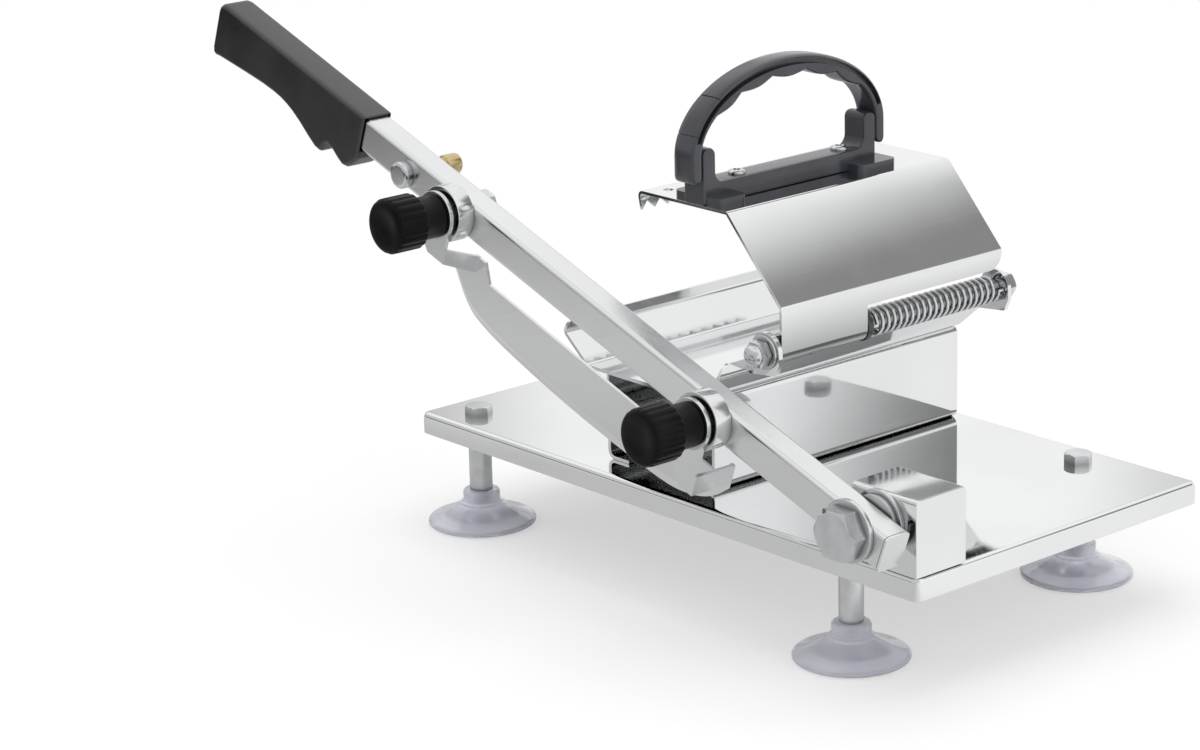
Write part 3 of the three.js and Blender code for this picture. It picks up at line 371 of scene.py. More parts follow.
def moulded_plastic(name, tint, wear_and_highlight_tint, gloss, grain_depth, shine, coat=0.0):
    """Moulded plastic: a fine texture, soft colour drift, a little dust and edges coloured lighter, partly
    as wear from rubbing and partly as a painted highlight.
    """
    nodes = new_material(name)
    drift = nodes.noise(scale=45.0, detail=4.0)
    grain = nodes.noise(scale=2600.0, detail=2.0)
    dust = nodes.range(nodes.noise(scale=700.0, detail=5.0), 0.62, 0.75)
    body = nodes.blend(nodes.range(drift, *NOISE_CORE), tint, scaled(tint, 1.5, 0.004))
    # Edges coloured lighter: wear from rubbing, and a painted highlight on the rounded edges.
    wear_and_highlight = nodes.blend(nodes.product(nodes.edges(0.6 * MM), 0.55), body, wear_and_highlight_tint)
    smooth = nodes.range(drift, *NOISE_MOST, *gloss)
    nodes.set(
        Base_Color=nodes.blend(nodes.product(dust, 0.015), wear_and_highlight, (0.4, 0.4, 0.4)),
        Roughness=nodes.math("ADD", smooth, nodes.product(dust, 0.06)),
        Normal=nodes.bump(grain, grain_depth, nodes.bump(drift, 0.04 * MM)),
        IOR=1.5,
        Specular_IOR_Level=shine,
        Coat_Weight=coat,
        Coat_Roughness=0.12,
    )
    return nodes.owner


def clear_vinyl():
    """Clear vinyl with a violet tint, slightly cloudy, with faint flow marks."""
    nodes = new_material("clear_vinyl_cups")
    cloud = nodes.noise(scale=60.0, detail=4.0)
    flow = nodes.noise(scale=260.0, detail=3.0)
    nodes.set(
        Base_Color=nodes.blend(nodes.range(cloud, *NOISE_CORE), (0.81, 0.82, 0.91), (0.88, 0.89, 0.96)),
        Roughness=nodes.range(cloud, *NOISE_MOST, 0.10, 0.20),
        Normal=nodes.bump(flow, 0.04 * MM),
        IOR=1.45,
        Transmission_Weight=0.62,
        Coat_Weight=0.8,
        Coat_Roughness=0.04,
    )
    return nodes.owner


POLISHED = (0.86, 0.865, 0.87)
FOLDED = (0.85, 0.855, 0.86)

LOOKS = {
    "base": sheet_steel("base_steel", POLISHED, 0.006, (0.03, 0.06), ALONG_X, bow=0.12 * MM),
    # The stand's closed-in hollows are darkened with painted shade.
    "stand": sheet_steel(
        "stand_steel", FOLDED, 0.008, (0.03, 0.06), ALONG_Y, bow=0.08 * MM, hollow_shade_reach=80 * MM
    ),
    "tray": sheet_steel("tray_steel", FOLDED, 0.010, (0.05, 0.09), ALONG_Y, bow=0.1 * MM),
    # The cover's colour darkens towards its lower lip as painted shade.
    "cover": sheet_steel(
        "cover_steel", POLISHED, 0.010, (0.06, 0.11), ALONG_Y,
        bow=0.05 * MM, swell=(147 * MM, 17 * MM, 1.3 * MM), fall=(106 * MM, 128 * MM, 0.4),
    ),
    "bracket": sheet_steel("bracket_steel", FOLDED, 0.010, (0.05, 0.10), ALONG_Z, bow=0.06 * MM),
    "arm": sheet_steel("arm_steel", (0.84, 0.845, 0.85), 0.02, (0.22, 0.27), ALONG_X, turn=ARM_SLOPE),
    "blade": sheet_steel("blade_steel", (0.80, 0.805, 0.81), 0.02, (0.20, 0.25), ALONG_X, turn=ARM_SLOPE),
    "ground": sheet_steel("ground_edge_steel", POLISHED, 0.04, (0.14, 0.20), ALONG_Z, turn=ARM_SLOPE),
    "bolt": turned_steel("bolt_steel", (0.76, 0.77, 0.78), (0.14, 0.22)),
    "boss": turned_steel("boss_steel", (0.82, 0.825, 0.83), (0.10, 0.18)),
    "dark": turned_steel("dark_steel", (0.10, 0.105, 0.11), (0.28, 0.4)),
    "brass": turned_steel("brass", (0.72, 0.57, 0.30), (0.18, 0.28)),
    "grip": moulded_plastic(
        "grip_plastic", (0.004, 0.0042, 0.005), wear_and_highlight_tint=(0.02, 0.02, 0.022),
        gloss=(0.26, 0.34), grain_depth=0.015 * MM, shine=1.0,
    ),
    "knob": moulded_plastic(
        "knob_plastic", (0.004, 0.0041, 0.0045), wear_and_highlight_tint=(0.010, 0.010, 0.011),
        gloss=(0.26, 0.36), grain_depth=0.01 * MM, shine=0.08,
    ),
    "handle": moulded_plastic(
        "handle_plastic", (0.026, 0.027, 0.034), wear_and_highlight_tint=(0.06, 0.062, 0.07),
        gloss=(0.15, 0.23), grain_depth=0.006 * MM, shine=0.6, coat=0.1,
    ),
    "cup": clear_vinyl(),
}


# Shared ways to make pieces

def add_mesh(name, bm):
    """Turns a bmesh into an object in the scene."""
    mesh = bpy.data.meshes.new(name)
    bm.to_mesh(mesh)
    bm.free()
    piece = bpy.data.objects.new(name, mesh)
    bpy.context.scene.collection.objects.link(piece)
    return piece


def smooth_between(bm, sharp_degrees):
    """Marks edges sharper than an angle, and shades everything else smooth."""
    limit = math.radians(sharp_degrees)
    for face in bm.faces:
        face.smooth = True
    for edge in bm.edges:
        edge.smooth = len(edge.link_faces) == 2 and edge.calc_face_angle(0.0) < limit


def round_edges(piece, width):
    """Rounds a piece's sharp edges a little, as a press or mould leaves them."""
    bevel = piece.modifiers.new("edges", "BEVEL")
    bevel.width = width
    bevel.segments = 2
    bevel.limit_method = "ANGLE"
    bevel.angle_limit = math.radians(30)
    bevel.harden_normals = False
    bevel.miter_outer = "MITER_ARC"
    weighted = piece.modifiers.new("flat faces", "WEIGHTED_NORMAL")
    weighted.keep_sharp = True
    weighted.weight = 90


def fit(piece, look, node):
    """Gives a piece its material and the body of the node it stands for, and hides that node."""
    piece.data.materials.clear()
    piece.data.materials.append(LOOKS[look])
    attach(piece, frame["nodes"][node]["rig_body"])
    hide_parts(node)
    return piece


def refined(node, look, edge, sharp_degrees=28):
    """A node's own form with its flat faces made whole, its bends smooth and its edges rounded."""
    bm = bmesh.new()
    bm.from_mesh(frame["nodes"][node].data)
    bmesh.ops.remove_doubles(bm, verts=bm.verts, dist=MERGE_DISTANCE)
    bmesh.ops.dissolve_limit(bm, angle_limit=FLAT_ANGLE, verts=bm.verts, edges=bm.edges)
    bmesh.ops.recalc_face_normals(bm, faces=bm.faces)
    smooth_between(bm, sharp_degrees)
    piece = add_mesh(f"{node}_finished", bm)
    round_edges(piece, edge)
    return fit(piece, look, node)


def soften(profile, radius, steps=3):
    """Replaces the corners of an open profile by short arcs."""
    points = [Vector(point) for point in profile]
    out = [points[0]]
    for before, corner, after in zip(points, points[1:], points[2:]):
        into, away = corner - before, after - corner
        reach = min(radius, CORNER_SHARE * into.length, CORNER_SHARE * away.length)
        start = corner - into.normalized() * reach
        end = corner + away.normalized() * reach
        for step in range(steps + 1):
            share = step / steps
            out.append(start.lerp(corner, share).lerp(corner.lerp(end, share), share))
    out.append(points[-1])
    return out


def quarter(steps, first=1):
    """Angles that end at a right angle, in even steps."""
    return [math.pi / 2 * step / steps for step in range(first, steps + 1)]


def around(sides):
    """Even angles once round a circle."""
    return [2 * math.pi * side / sides for side in range(sides)]


def skin(bm, rings, capped=False):
    """Joins each ring of points to the next with faces. A ring of one point is a tip."""
    for lower, upper in zip(rings, rings[1:]):
        sides = max(len(lower), len(upper))
        for side in range(sides):
            beside = (side + 1) % sides
            corners = [lower[side % len(lower)], lower[beside % len(lower)]]
            corners += [upper[beside % len(upper)], upper[side % len(upper)]]
            unique = list(dict.fromkeys(corners))
            if len(unique) > 2:
                bm.faces.new(unique)
    if capped:
        bm.faces.new(rings[0])
        bm.faces.new(rings[-1])


def revolve(bm, profile, place, sides, swell=None):
    """Turns a profile of radius and height about the local Y of a place."""
    rings = []
    for radius, height in profile:
        if radius < 1e-7:
            rings.append([bm.verts.new(place @ Vector((0.0, height, 0.0)))])
            continue
        ring = []
        for angle in around(sides):
            reach = swell(radius, angle) if swell else radius
            point = Vector((reach * math.cos(angle), height, reach * math.sin(angle)))
            ring.append(bm.verts.new(place @ point))
        rings.append(ring)
    skin(bm, rings)
    bmesh.ops.recalc_face_normals(bm, faces=bm.faces)


def upright_span(node):
    """Place, with its local Y up, and radius, bottom and top of a piece that is round about Z."""
    low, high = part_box(node)
    place = Matrix.Translation(((low.x + high.x) / 2, (low.y + high.y) / 2, 0.0))
    return place @ Matrix.Rotation(math.pi / 2, 4, "X"), (high.x - low.x) / 2, low.z, high.z


def level_span(node):
    """Place, radius, front and back of a piece that is round about a line along Y."""
    low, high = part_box(node)
    place = Matrix.Translation(((low.x + high.x) / 2, 0.0, (low.z + high.z) / 2))
    return place, (high.x - low.x) / 2, low.y, high.y


def turned(node, profile, place, look, made="turned", sides=96, swell=None, sharp_degrees=40):
    """A turned piece that stands for a node."""
    bm = bmesh.new()
    revolve(bm, profile, place, sides, swell)
    smooth_between(bm, sharp_degrees)
    return fit(add_mesh(f"{node}_{made}", bm), look, node)


def ring_profile(outer, inner, low, high):
    """A closed washer profile with softened edges."""
    corners = [(inner, low), (outer, low), (outer, high), (inner, high), (inner, low)]
    return soften(corners, TURNED_EDGE)


def washer(node, hole, look="bolt"):
    """A flat washer with softened edges round a hole of a given radius."""
    place, radius, front, back = level_span(node)
    return turned(node, ring_profile(radius, hole, front, back), place, look)


def threaded(radius, start, end):
    """Profile of a thread as fine ridges between two heights."""
    turns = max(1, round(abs(end - start) / THREAD_PITCH))
    step = (end - start) / turns
    points = []
    for turn in range(turns):
        points.append((radius - THREAD_DEPTH, start + turn * step))
        points.append((radius, start + (turn + 0.4) * step))
        points.append((radius, start + (turn + 0.6) * step))
    points.append((radius - THREAD_DEPTH, end))
    return points


HEX_SIDES = 72
HEX_FACE_SHARE = 0.96
HEX_CHAMFER_SLOPE = math.tan(math.radians(30))
HEX_MERGE_DISTANCE = 0.0005 * MM


def hex_outline(angle, across, front, back, hole, chamfers):
    """Radius and height down the side of a hexagonal bar at an angle from one of its corners."""
    half = across / 2
    corner = half / math.cos(angle % (math.pi / 3) - math.pi / 6)
    face = HEX_FACE_SHARE * half
    front_rim, back_rim = [face if chamfered else corner for chamfered in chamfers]
    outline = [
        (hole, front),
        (front_rim, front),
        (corner, front + HEX_CHAMFER_SLOPE * (corner - front_rim)),
        (corner, back - HEX_CHAMFER_SLOPE * (corner - back_rim)),
        (back_rim, back),
        (hole, back),
    ]
    return outline + outline[:1] if hole else outline


def hex_piece(node, place, across, front, back, hole, chamfers, turn=0.0, shank=None):
    """A hexagonal nut, or a head with the profile of its shank, chamfered in front, behind or both."""
    bm = bmesh.new()
    angles = around(HEX_SIDES)
    outlines = [hex_outline(angle - turn, across, front, back, hole, chamfers) for angle in angles]
    rings = []
    for level in zip(*outlines):
        ring = []
        for angle, (radius, height) in zip(angles, level):
            point = Vector((radius * math.cos(angle), height, radius * math.sin(angle)))
            ring.append(bm.verts.new(place @ point))
        rings.append(ring)
    skin(bm, rings)
    bmesh.ops.remove_doubles(bm, verts=bm.verts, dist=HEX_MERGE_DISTANCE)
    bmesh.ops.recalc_face_normals(bm, faces=bm.faces)
    if shank:
        revolve(bm, shank, place, sides=48)
    smooth_between(bm, 22)
    return fit(add_mesh(f"{node}_turned", bm), "bolt", node)


def carve(piece, tool):
    """Cuts a tool out of a piece and deletes the tool."""
    modifier = piece.modifiers.new("cut", "BOOLEAN")
    modifier.operation = "DIFFERENCE"
    modifier.solver = "EXACT"
    modifier.use_self = True
    modifier.object = tool
    bpy.context.view_layer.update()
    graph = bpy.context.evaluated_depsgraph_get()
    mesh = bpy.data.meshes.new_from_object(piece.evaluated_get(graph))
    piece.modifiers.remove(modifier)
    mesh.name = piece.data.name
    piece.data = mesh
    bpy.data.objects.remove(tool)


# Feet

LEG_BOLT_RADIUS = 3.0 * MM
LEG_BOLT_TIP = 0.6 * MM
LEG_BOLT_PLAIN = 2.9 * MM
LEG_BOLT_HEAD = 10.5 * MM
LEG_BOLT_HEAD_HEIGHT = 4.0 * MM
LEG_CLEARANCE = 0.3 * MM

# Heights and radii of a suction cup, in millimetres
CUP_HEIGHT = 15.0
CUP_RADIUS = 23.5
CUP_SEAL = 3.5
CUP_CONE = 9.0
CUP_SOCKET_FLOOR = 8.7
COLLAR_RADIUS = 8.0


def cup_profile():
    """Half of a thin cup, from the middle of its hollow round its rim, cone and collar to its socket."""
    bore = (LEG_BOLT_RADIUS + LEG_CLEARANCE) / MM
    hollow = [(0.0, 3.5), (9.0, 3.3), (15.5, 2.2), (CUP_RADIUS - CUP_SEAL, 0.35), (CUP_RADIUS - 2.0, 0.0)]
    rim = [(CUP_RADIUS - 0.5, 0.0), (CUP_RADIUS, 0.6), (CUP_RADIUS, 1.5), (CUP_RADIUS - 0.7, 2.3)]
    cone = [(20.5, 3.0), (16.5, 4.6), (12.8, 6.6), (10.4, CUP_CONE - 0.9), (9.3, CUP_CONE - 0.3)]
    step = [(9.2, CUP_CONE + 0.5), (COLLAR_RADIUS, CUP_CONE + 0.9)]
    collar = [(COLLAR_RADIUS, CUP_HEIGHT - 0.8), (COLLAR_RADIUS - 0.8, CUP_HEIGHT), (bore, CUP_HEIGHT)]
    socket = [(bore, CUP_SOCKET_FLOOR), (0.0, CUP_SOCKET_FLOOR)]
    outline = hollow + rim + cone + step + collar + socket
    return soften([(radius * MM, height * MM) for radius, height in outline], 0.9 * MM, steps=4)


def add_foot(corner):
    bolt = f"leg_bolt_{corner}"
    place, _, bottom, _ = upright_span(bolt)
    base_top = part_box("base_plate")[1].z
    radius = LEG_BOLT_RADIUS
    shank = [(0.0, bottom), (radius - LEG_BOLT_TIP, bottom)]
    shank += threaded(radius, bottom + LEG_BOLT_TIP, base_top - LEG_BOLT_PLAIN - 0.1 * MM)
    shank += [(radius, base_top - LEG_BOLT_PLAIN), (radius, base_top)]
    head_top = base_top + LEG_BOLT_HEAD_HEIGHT
    hex_piece(bolt, place, LEG_BOLT_HEAD, base_top, head_top, 0.0, (False, True), shank=shank)
    spacer = f"leg_spacer_{corner}"
    _, outer, foot, top = upright_span(spacer)
    turned(spacer, ring_profile(outer, radius + LEG_CLEARANCE, foot, top), place, "bolt", sides=64)
    turned(f"suction_cup_{corner}", cup_profile(), place, "cup", made="moulded", sharp_degrees=60)


for corner_name in ("front_right", "back_right", "front_left", "back_left"):
    add_foot(corner_name)


# Folded sheet pieces

refined("base_plate", "base", edge=0.3 * MM)
refined("stand", "stand", edge=0.2 * MM)
refined("tray", "tray", edge=0.2 * MM)
refined("pivot_bracket", "bracket", edge=0.3 * MM)
refined("press_cover", "cover", edge=0.2 * MM)


# Guide rod with its nuts, bush and spring

ROD_RADIUS = 3.5 * MM
ROD_HOLE = 3.8 * MM
ROD_NUT = 10.0 * MM
ROD_TIP = 0.5 * MM
ROD_THREAD = 8.0 * MM
ROD_RUN_OUT = 0.3 * MM
DOME_RADIUS = 4.6 * MM
DOME_HEX = 1.6 * MM
DOME_RIM = 0.4 * MM
BUSH_SLEEVE = 4.4 * MM
BUSH_FLANGE = 6.4 * MM
BUSH_FLANGE_THICKNESS = 3.0 * MM
SPRING_COILS = 21
SPRING_STEPS = 28
SPRING_SIDES = 10
SPRING_WIRE_RADIUS = 0.8 * MM
SPRING_MEAN_RADIUS = 5.2 * MM

rod_place, _, rod_front, rod_back = level_span("guide_rod")


def add_rod():
    front_end, back_end = rod_front + ROD_THREAD, rod_back - ROD_THREAD
    profile = [(0.0, rod_front), (ROD_RADIUS - ROD_TIP, rod_front)]
    profile += threaded(ROD_RADIUS, rod_front + ROD_TIP, front_end)
    profile += [(ROD_RADIUS, front_end + ROD_RUN_OUT), (ROD_RADIUS, back_end - ROD_RUN_OUT)]
    profile += threaded(ROD_RADIUS, back_end, rod_back - ROD_TIP)
    profile += [(ROD_RADIUS - ROD_TIP, rod_back), (0.0, rod_back)]
    turned("guide_rod", profile, rod_place, "bolt", sides=64)
    washer("rod_front_washer", ROD_HOLE)
    washer("rod_rear_washer", ROD_HOLE, "dark")
    for nut, chamfers in (("rod_front_nut", (True, True)), ("rod_rear_nut", (False, True))):
        low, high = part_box(nut)
        hex_piece(nut, rod_place, ROD_NUT, low.y, high.y, ROD_HOLE, chamfers)


def add_dome_nut():
    """A thin hexagon with a domed cap on its front."""
    low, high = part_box("rod_dome_nut")
    hex_front = high.y - DOME_HEX
    cap = [(0.0, low.y)]
    for angle in quarter(12):
        cap.append((DOME_RADIUS * math.sin(angle), hex_front - (hex_front - low.y) * math.cos(angle)))
    cap.append((DOME_RADIUS, hex_front + DOME_RIM))
    hex_piece("rod_dome_nut", rod_place, ROD_NUT, hex_front, high.y, ROD_HOLE, (True, False), shank=cap)


def add_bush():
    low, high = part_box("rod_bush")
    flange = high.y - BUSH_FLANGE_THICKNESS
    sleeve = [(ROD_HOLE, low.y), (BUSH_SLEEVE, low.y), (BUSH_SLEEVE, flange)]
    collar = [(BUSH_FLANGE, flange), (BUSH_FLANGE, high.y), (ROD_HOLE, high.y), (ROD_HOLE, low.y)]
    turned("rod_bush", soften(sleeve + collar, TURNED_EDGE), rod_place, "dark")


def spring_line(low, high):
    """Middle of the spring's wire: even coils with a short straight end at each side."""
    straight = 3 * SPRING_WIRE_RADIUS
    rise = high - low - 2 * straight
    steps = SPRING_COILS * SPRING_STEPS
    line = [Vector((SPRING_MEAN_RADIUS, low, 0.0))]
    for step in range(steps + 1):
        angle = 2 * math.pi * step / SPRING_STEPS
        height = low + straight + rise * step / steps
        across, up = math.cos(angle), math.sin(angle)
        line.append(Vector((SPRING_MEAN_RADIUS * across, height, SPRING_MEAN_RADIUS * up)))
    line.append(Vector((SPRING_MEAN_RADIUS, high, 0.0)))
    return line


def add_spring():
    """The feed spring as one wound wire with a mesh of its own; on the slicer it shortens as the cover
    slides back.
    """
    low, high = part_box("feed_spring")
    line = spring_line(low.y, high.y)
    bm = bmesh.new()
    rings = []
    for before, point, after in zip(line[:1] + line, line, line[1:] + line[-1:]):
        along = (after - before).normalized()
        out = Vector((point.x, 0.0, point.z)).normalized()
        sideways = along.cross(out).normalized()
        outward = sideways.cross(along).normalized()
        ring = []
        for angle in around(SPRING_SIDES):
            rim = point + SPRING_WIRE_RADIUS * (math.cos(angle) * outward + math.sin(angle) * sideways)
            ring.append(bm.verts.new(rod_place @ rim))
        rings.append(ring)
    skin(bm, rings, capped=True)
    bmesh.ops.recalc_face_normals(bm, faces=bm.faces)
    smooth_between(bm, 60)
    spring = fit(add_mesh("feed_spring_wound", bm), "bolt", "feed_spring")
    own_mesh(spring)


add_rod()
add_dome_nut()
add_bush()
add_spring()


# Handle on the cover

SCREW_HEAD_RADIUS = 3.6 * MM
SCREW_HEAD_HEIGHT = 1.6 * MM
SCREW_HEAD_RIM = 0.5 * MM
SCREW_HEAD_FLAT_SHARE = 0.55
SCREW_RADIUS = 2.0 * MM
SCREW_TIP = 0.4 * MM
SCREW_PLAIN = 3.0 * MM
SCREW_CROSS = (4.0 * MM, 0.9 * MM, 1.6 * MM)
HANDLE_NUT = 7.0 * MM
HANDLE_NUT_HOLE = 2.3 * MM

# Sizes of the arch, in millimetres
ARCH_RISE = 34.5
ARCH_OPENING_RISE = 28.0
ARCH_THICKNESS = 5.5
ARCH_LEG_STRAIGHT = 3.0
ARCH_WAVES = 5
ARCH_WAVE_DEPTH = 2.0
ARCH_WAVE_MARGIN = math.radians(35)
ARCH_CHANNEL_MARGIN = math.radians(12)
ARCH_CHANNEL_DEPTH = 2.5
ARCH_CHANNEL_TOP = 1.5
ARCH_CHANNEL_BOTTOM = 3.8
ARCH_CHANNEL_SLOPE = 0.25
ARCH_CHANNEL_FADE_ANGLE = 0.02
ARCH_SIDE_START = 1.3
ARCH_SIDE_END = 0.9
ARCH_CROWN = ((0.0, 0.0), (2.2, 0.02), (3.9, 0.14), (5.0, 0.42), (5.65, 0.85))
ARCH_UNDERSIDE = ((5.65, 0.45), (4.9, 0.1), (3.5, 0.0), (0.0, 0.0))
ARCH_END_NARROWING = 0.18
ARCH_STEPS = 180
ARCH_SEAMS = (math.radians(16.5), math.radians(43))
ARCH_SEAM_DEPTH = 0.45
ARCH_SEAM_HALF_ANGLES = (0.003, 0.007)
ARCH_SEAM_CLEAR_ANGLE = 0.010


def add_handle_screw(node):
    """A pan head screw with a cross recess."""
    place, _, bottom, top = upright_span(node)
    head_low = top - SCREW_HEAD_HEIGHT
    profile = [(0.0, bottom), (SCREW_RADIUS - SCREW_TIP, bottom)]
    profile += threaded(SCREW_RADIUS, bottom + SCREW_TIP, head_low - SCREW_PLAIN)
    profile += [(SCREW_RADIUS, head_low), (SCREW_HEAD_RADIUS, head_low)]
    profile.append((SCREW_HEAD_RADIUS, head_low + SCREW_HEAD_RIM))
    for angle in quarter(6):
        share = SCREW_HEAD_FLAT_SHARE + (1 - SCREW_HEAD_FLAT_SHARE) * math.cos(angle)
        rise = SCREW_HEAD_RIM + (SCREW_HEAD_HEIGHT - SCREW_HEAD_RIM) * math.sin(angle)
        profile.append((SCREW_HEAD_RADIUS * share, head_low + rise))
    profile.append((0.0, top))
    piece = turned(node, profile, place, "bolt", sides=64)
    bm = bmesh.new()
    for turn in (0.0, math.pi / 2):
        bar = bmesh.ops.create_cube(bm, size=1.0)["verts"]
        size = Matrix.Diagonal((*SCREW_CROSS, 1.0))
        bmesh.ops.transform(bm, verts=bar, matrix=Matrix.Rotation(turn, 4, "Z") @ size)
    middle = place.translation
    bmesh.ops.translate(bm, verts=bm.verts, vec=Vector((middle.x, middle.y, top)))
    carve(piece, add_mesh(f"{node}_recess", bm))


def add_handle_nut(node):
    place, _, bottom, top = upright_span(node)
    hex_piece(node, place, HANDLE_NUT, bottom, top, HANDLE_NUT_HOLE, (True, True))


def arch_wave(angle):
    """How far a finger bump stands out from the arch's underside."""
    share = (angle - ARCH_WAVE_MARGIN) / (math.pi - 2 * ARCH_WAVE_MARGIN)
    return ARCH_WAVE_DEPTH * abs(math.sin(math.pi * ARCH_WAVES * share)) if 0 < share < 1 else 0.0


def arch_angles():
    """Angles along the arch, with four close together at each seam."""
    angles = {math.pi * step / ARCH_STEPS for step in range(ARCH_STEPS + 1)}
    for seam in ARCH_SEAMS:
        angles = {angle for angle in angles if abs(angle - seam) > ARCH_SEAM_CLEAR_ANGLE}
        for half in ARCH_SEAM_HALF_ANGLES:
            angles |= {seam - half, seam + half}
    return sorted(angles)


def arch_section(half, thick, channel, seam):
    """Offset and depth round the arch's section, from the middle of its outside."""
    wall = half - channel * ARCH_CHANNEL_DEPTH
    side = [(offset, depth + seam) for offset, depth in ARCH_CROWN]
    side += [(half, ARCH_SIDE_START + 0.5 * seam), (half, ARCH_CHANNEL_TOP)]
    side += [(wall, ARCH_CHANNEL_TOP + ARCH_CHANNEL_SLOPE), (wall, ARCH_CHANNEL_BOTTOM - ARCH_CHANNEL_SLOPE)]
    side += [(half, ARCH_CHANNEL_BOTTOM), (half, thick - ARCH_SIDE_END)]
    side += [(offset, thick - rise) for offset, rise in ARCH_UNDERSIDE]
    return side + [(-offset, depth) for offset, depth in reversed(side[1:-1])]


def arch_leg(outer_half, inner_half, end, foot):
    """Stations of a leg from its rounded end up: outer and inner point, channel and seam."""
    rounding = ARCH_THICKNESS / 2
    stations = []
    for angle in quarter(6):
        shrink = rounding * (1 - math.sin(angle))
        height = end + rounding * (1 - math.cos(angle))
        outer, inner = Vector((outer_half - shrink, height)), Vector((inner_half + shrink, height))
        stations.append((outer, inner, 0.0, 0.0))
    top = foot - ARCH_LEG_STRAIGHT
    stations.append((Vector((outer_half, top)), Vector((inner_half, top)), 0.0, 0.0))
    return stations


def arch_bow(outer_half, inner_half, foot):
    """Stations of the arch between its legs: outer and inner point, channel and seam."""
    stations = []
    for angle in arch_angles():
        wave = arch_wave(angle)
        across, up = math.cos(angle), math.sin(angle)
        outer = Vector((outer_half * across, foot + ARCH_RISE * up))
        inner = Vector(((inner_half - wave) * across, foot + (ARCH_OPENING_RISE - wave) * up))
        reach = min(angle, math.pi - angle) - ARCH_CHANNEL_MARGIN
        channel = min(1.0, max(0.0, reach / ARCH_CHANNEL_FADE_ANGLE))
        at_seam = min(abs(angle - seam) for seam in ARCH_SEAMS) < sum(ARCH_SEAM_HALF_ANGLES) / 2
        stations.append((outer, inner, channel, ARCH_SEAM_DEPTH if at_seam else 0.0))
    return stations


def add_handle_grip():
    """The glossy arch: crowned outside, side channels, finger bumps below and two parting seams."""
    low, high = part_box("handle_grip")
    middle_x, middle_y = (low.x + high.x) / 2, (low.y + high.y) / 2
    outer_half, half_width = (high.y - low.y) / 2 / MM, (high.x - low.x) / 2 / MM
    inner_half = outer_half - ARCH_THICKNESS
    foot = high.z / MM - ARCH_RISE
    leg = arch_leg(outer_half, inner_half, low.z / MM, foot)
    far_leg = [
        (Vector((-outer.x, outer.y)), Vector((-inner.x, inner.y)), channel, seam)
        for outer, inner, channel, seam in reversed(leg)
    ]
    bm = bmesh.new()
    rings = []
    for outer, inner, channel, seam in leg + arch_bow(outer_half, inner_half, foot) + far_leg:
        thick = (inner - outer).length
        inward = (inner - outer).normalized()
        scale = min(1.0, thick / ARCH_THICKNESS)
        ring = []
        for offset, depth in arch_section(half_width, max(thick, ARCH_THICKNESS), channel, seam):
            point = outer + inward * (depth * scale)
            side = offset * (1 - ARCH_END_NARROWING * (1 - math.sqrt(scale)))
            ring.append(bm.verts.new((middle_x + side * MM, middle_y - point.x * MM, point.y * MM)))
        rings.append(ring)
    skin(bm, rings, capped=True)
    bmesh.ops.recalc_face_normals(bm, faces=bm.faces)
    smooth_between(bm, 38)
    fit(add_mesh("handle_grip_moulded", bm), "handle", "handle_grip")


add_handle_grip()
refined("handle_base", "handle", edge=0.9 * MM, sharp_degrees=40)
add_handle_screw("handle_screw_front")
add_handle_screw("handle_screw_back")
add_handle_nut("handle_nut_front")
add_handle_nut("handle_nut_back")


# Pivot

PIVOT_RADIUS = 6.0 * MM
PIVOT_HOLE = 6.3 * MM
PIVOT_HEX = 19.0 * MM
PIVOT_THREAD_LEAD = 4.0 * MM
PIVOT_TIP = 0.8 * MM


def add_pivot():
    place = level_span("pivot_back_washer")[0]
    low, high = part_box("pivot_bolt")
    nut_low, nut_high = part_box("pivot_nut")
    head_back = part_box("pivot_front_washer")[0].y
    thread_front = nut_low.y - PIVOT_THREAD_LEAD
    shank = [(PIVOT_RADIUS, head_back - 0.5 * MM), (PIVOT_RADIUS, thread_front)]
    shank += threaded(PIVOT_RADIUS, thread_front + 0.1 * MM, high.y - PIVOT_TIP)
    shank += [(PIVOT_RADIUS - PIVOT_TIP, high.y), (0.0, high.y)]
    hex_piece("pivot_bolt", place, PIVOT_HEX, low.y, head_back, 0.0, (True, False), shank=shank)
    hex_piece("pivot_nut", place, PIVOT_HEX, nut_low.y, nut_high.y, PIVOT_HOLE, (True, True))
    washer("pivot_front_washer", PIVOT_HOLE)
    washer("pivot_back_washer", PIVOT_HOLE)
    refined("pivot_spring_washer", "bolt", edge=0.2 * MM, sharp_degrees=30)


add_pivot()


# Arm with its grip, blade, clamps and stop

# Span of the Y normals of the blade's ground bevel
GROUND_NORMALS = (-0.98, -0.85)


def add_blade():
    """The blade with its ground bevel in a finish of its own."""
    piece = refined("blade", "blade", edge=0.12 * MM, sharp_degrees=20)
    piece.data.materials.append(LOOKS["ground"])
    for polygon in piece.data.polygons:
        if GROUND_NORMALS[0] < polygon.normal.y < GROUND_NORMALS[1]:
            polygon.material_index = 1


refined("arm_tube", "arm", edge=0.25 * MM)
refined("arm_end_cap", "arm", edge=0.25 * MM)
refined("arm_grip", "grip", edge=0.4 * MM, sharp_degrees=40)
add_blade()

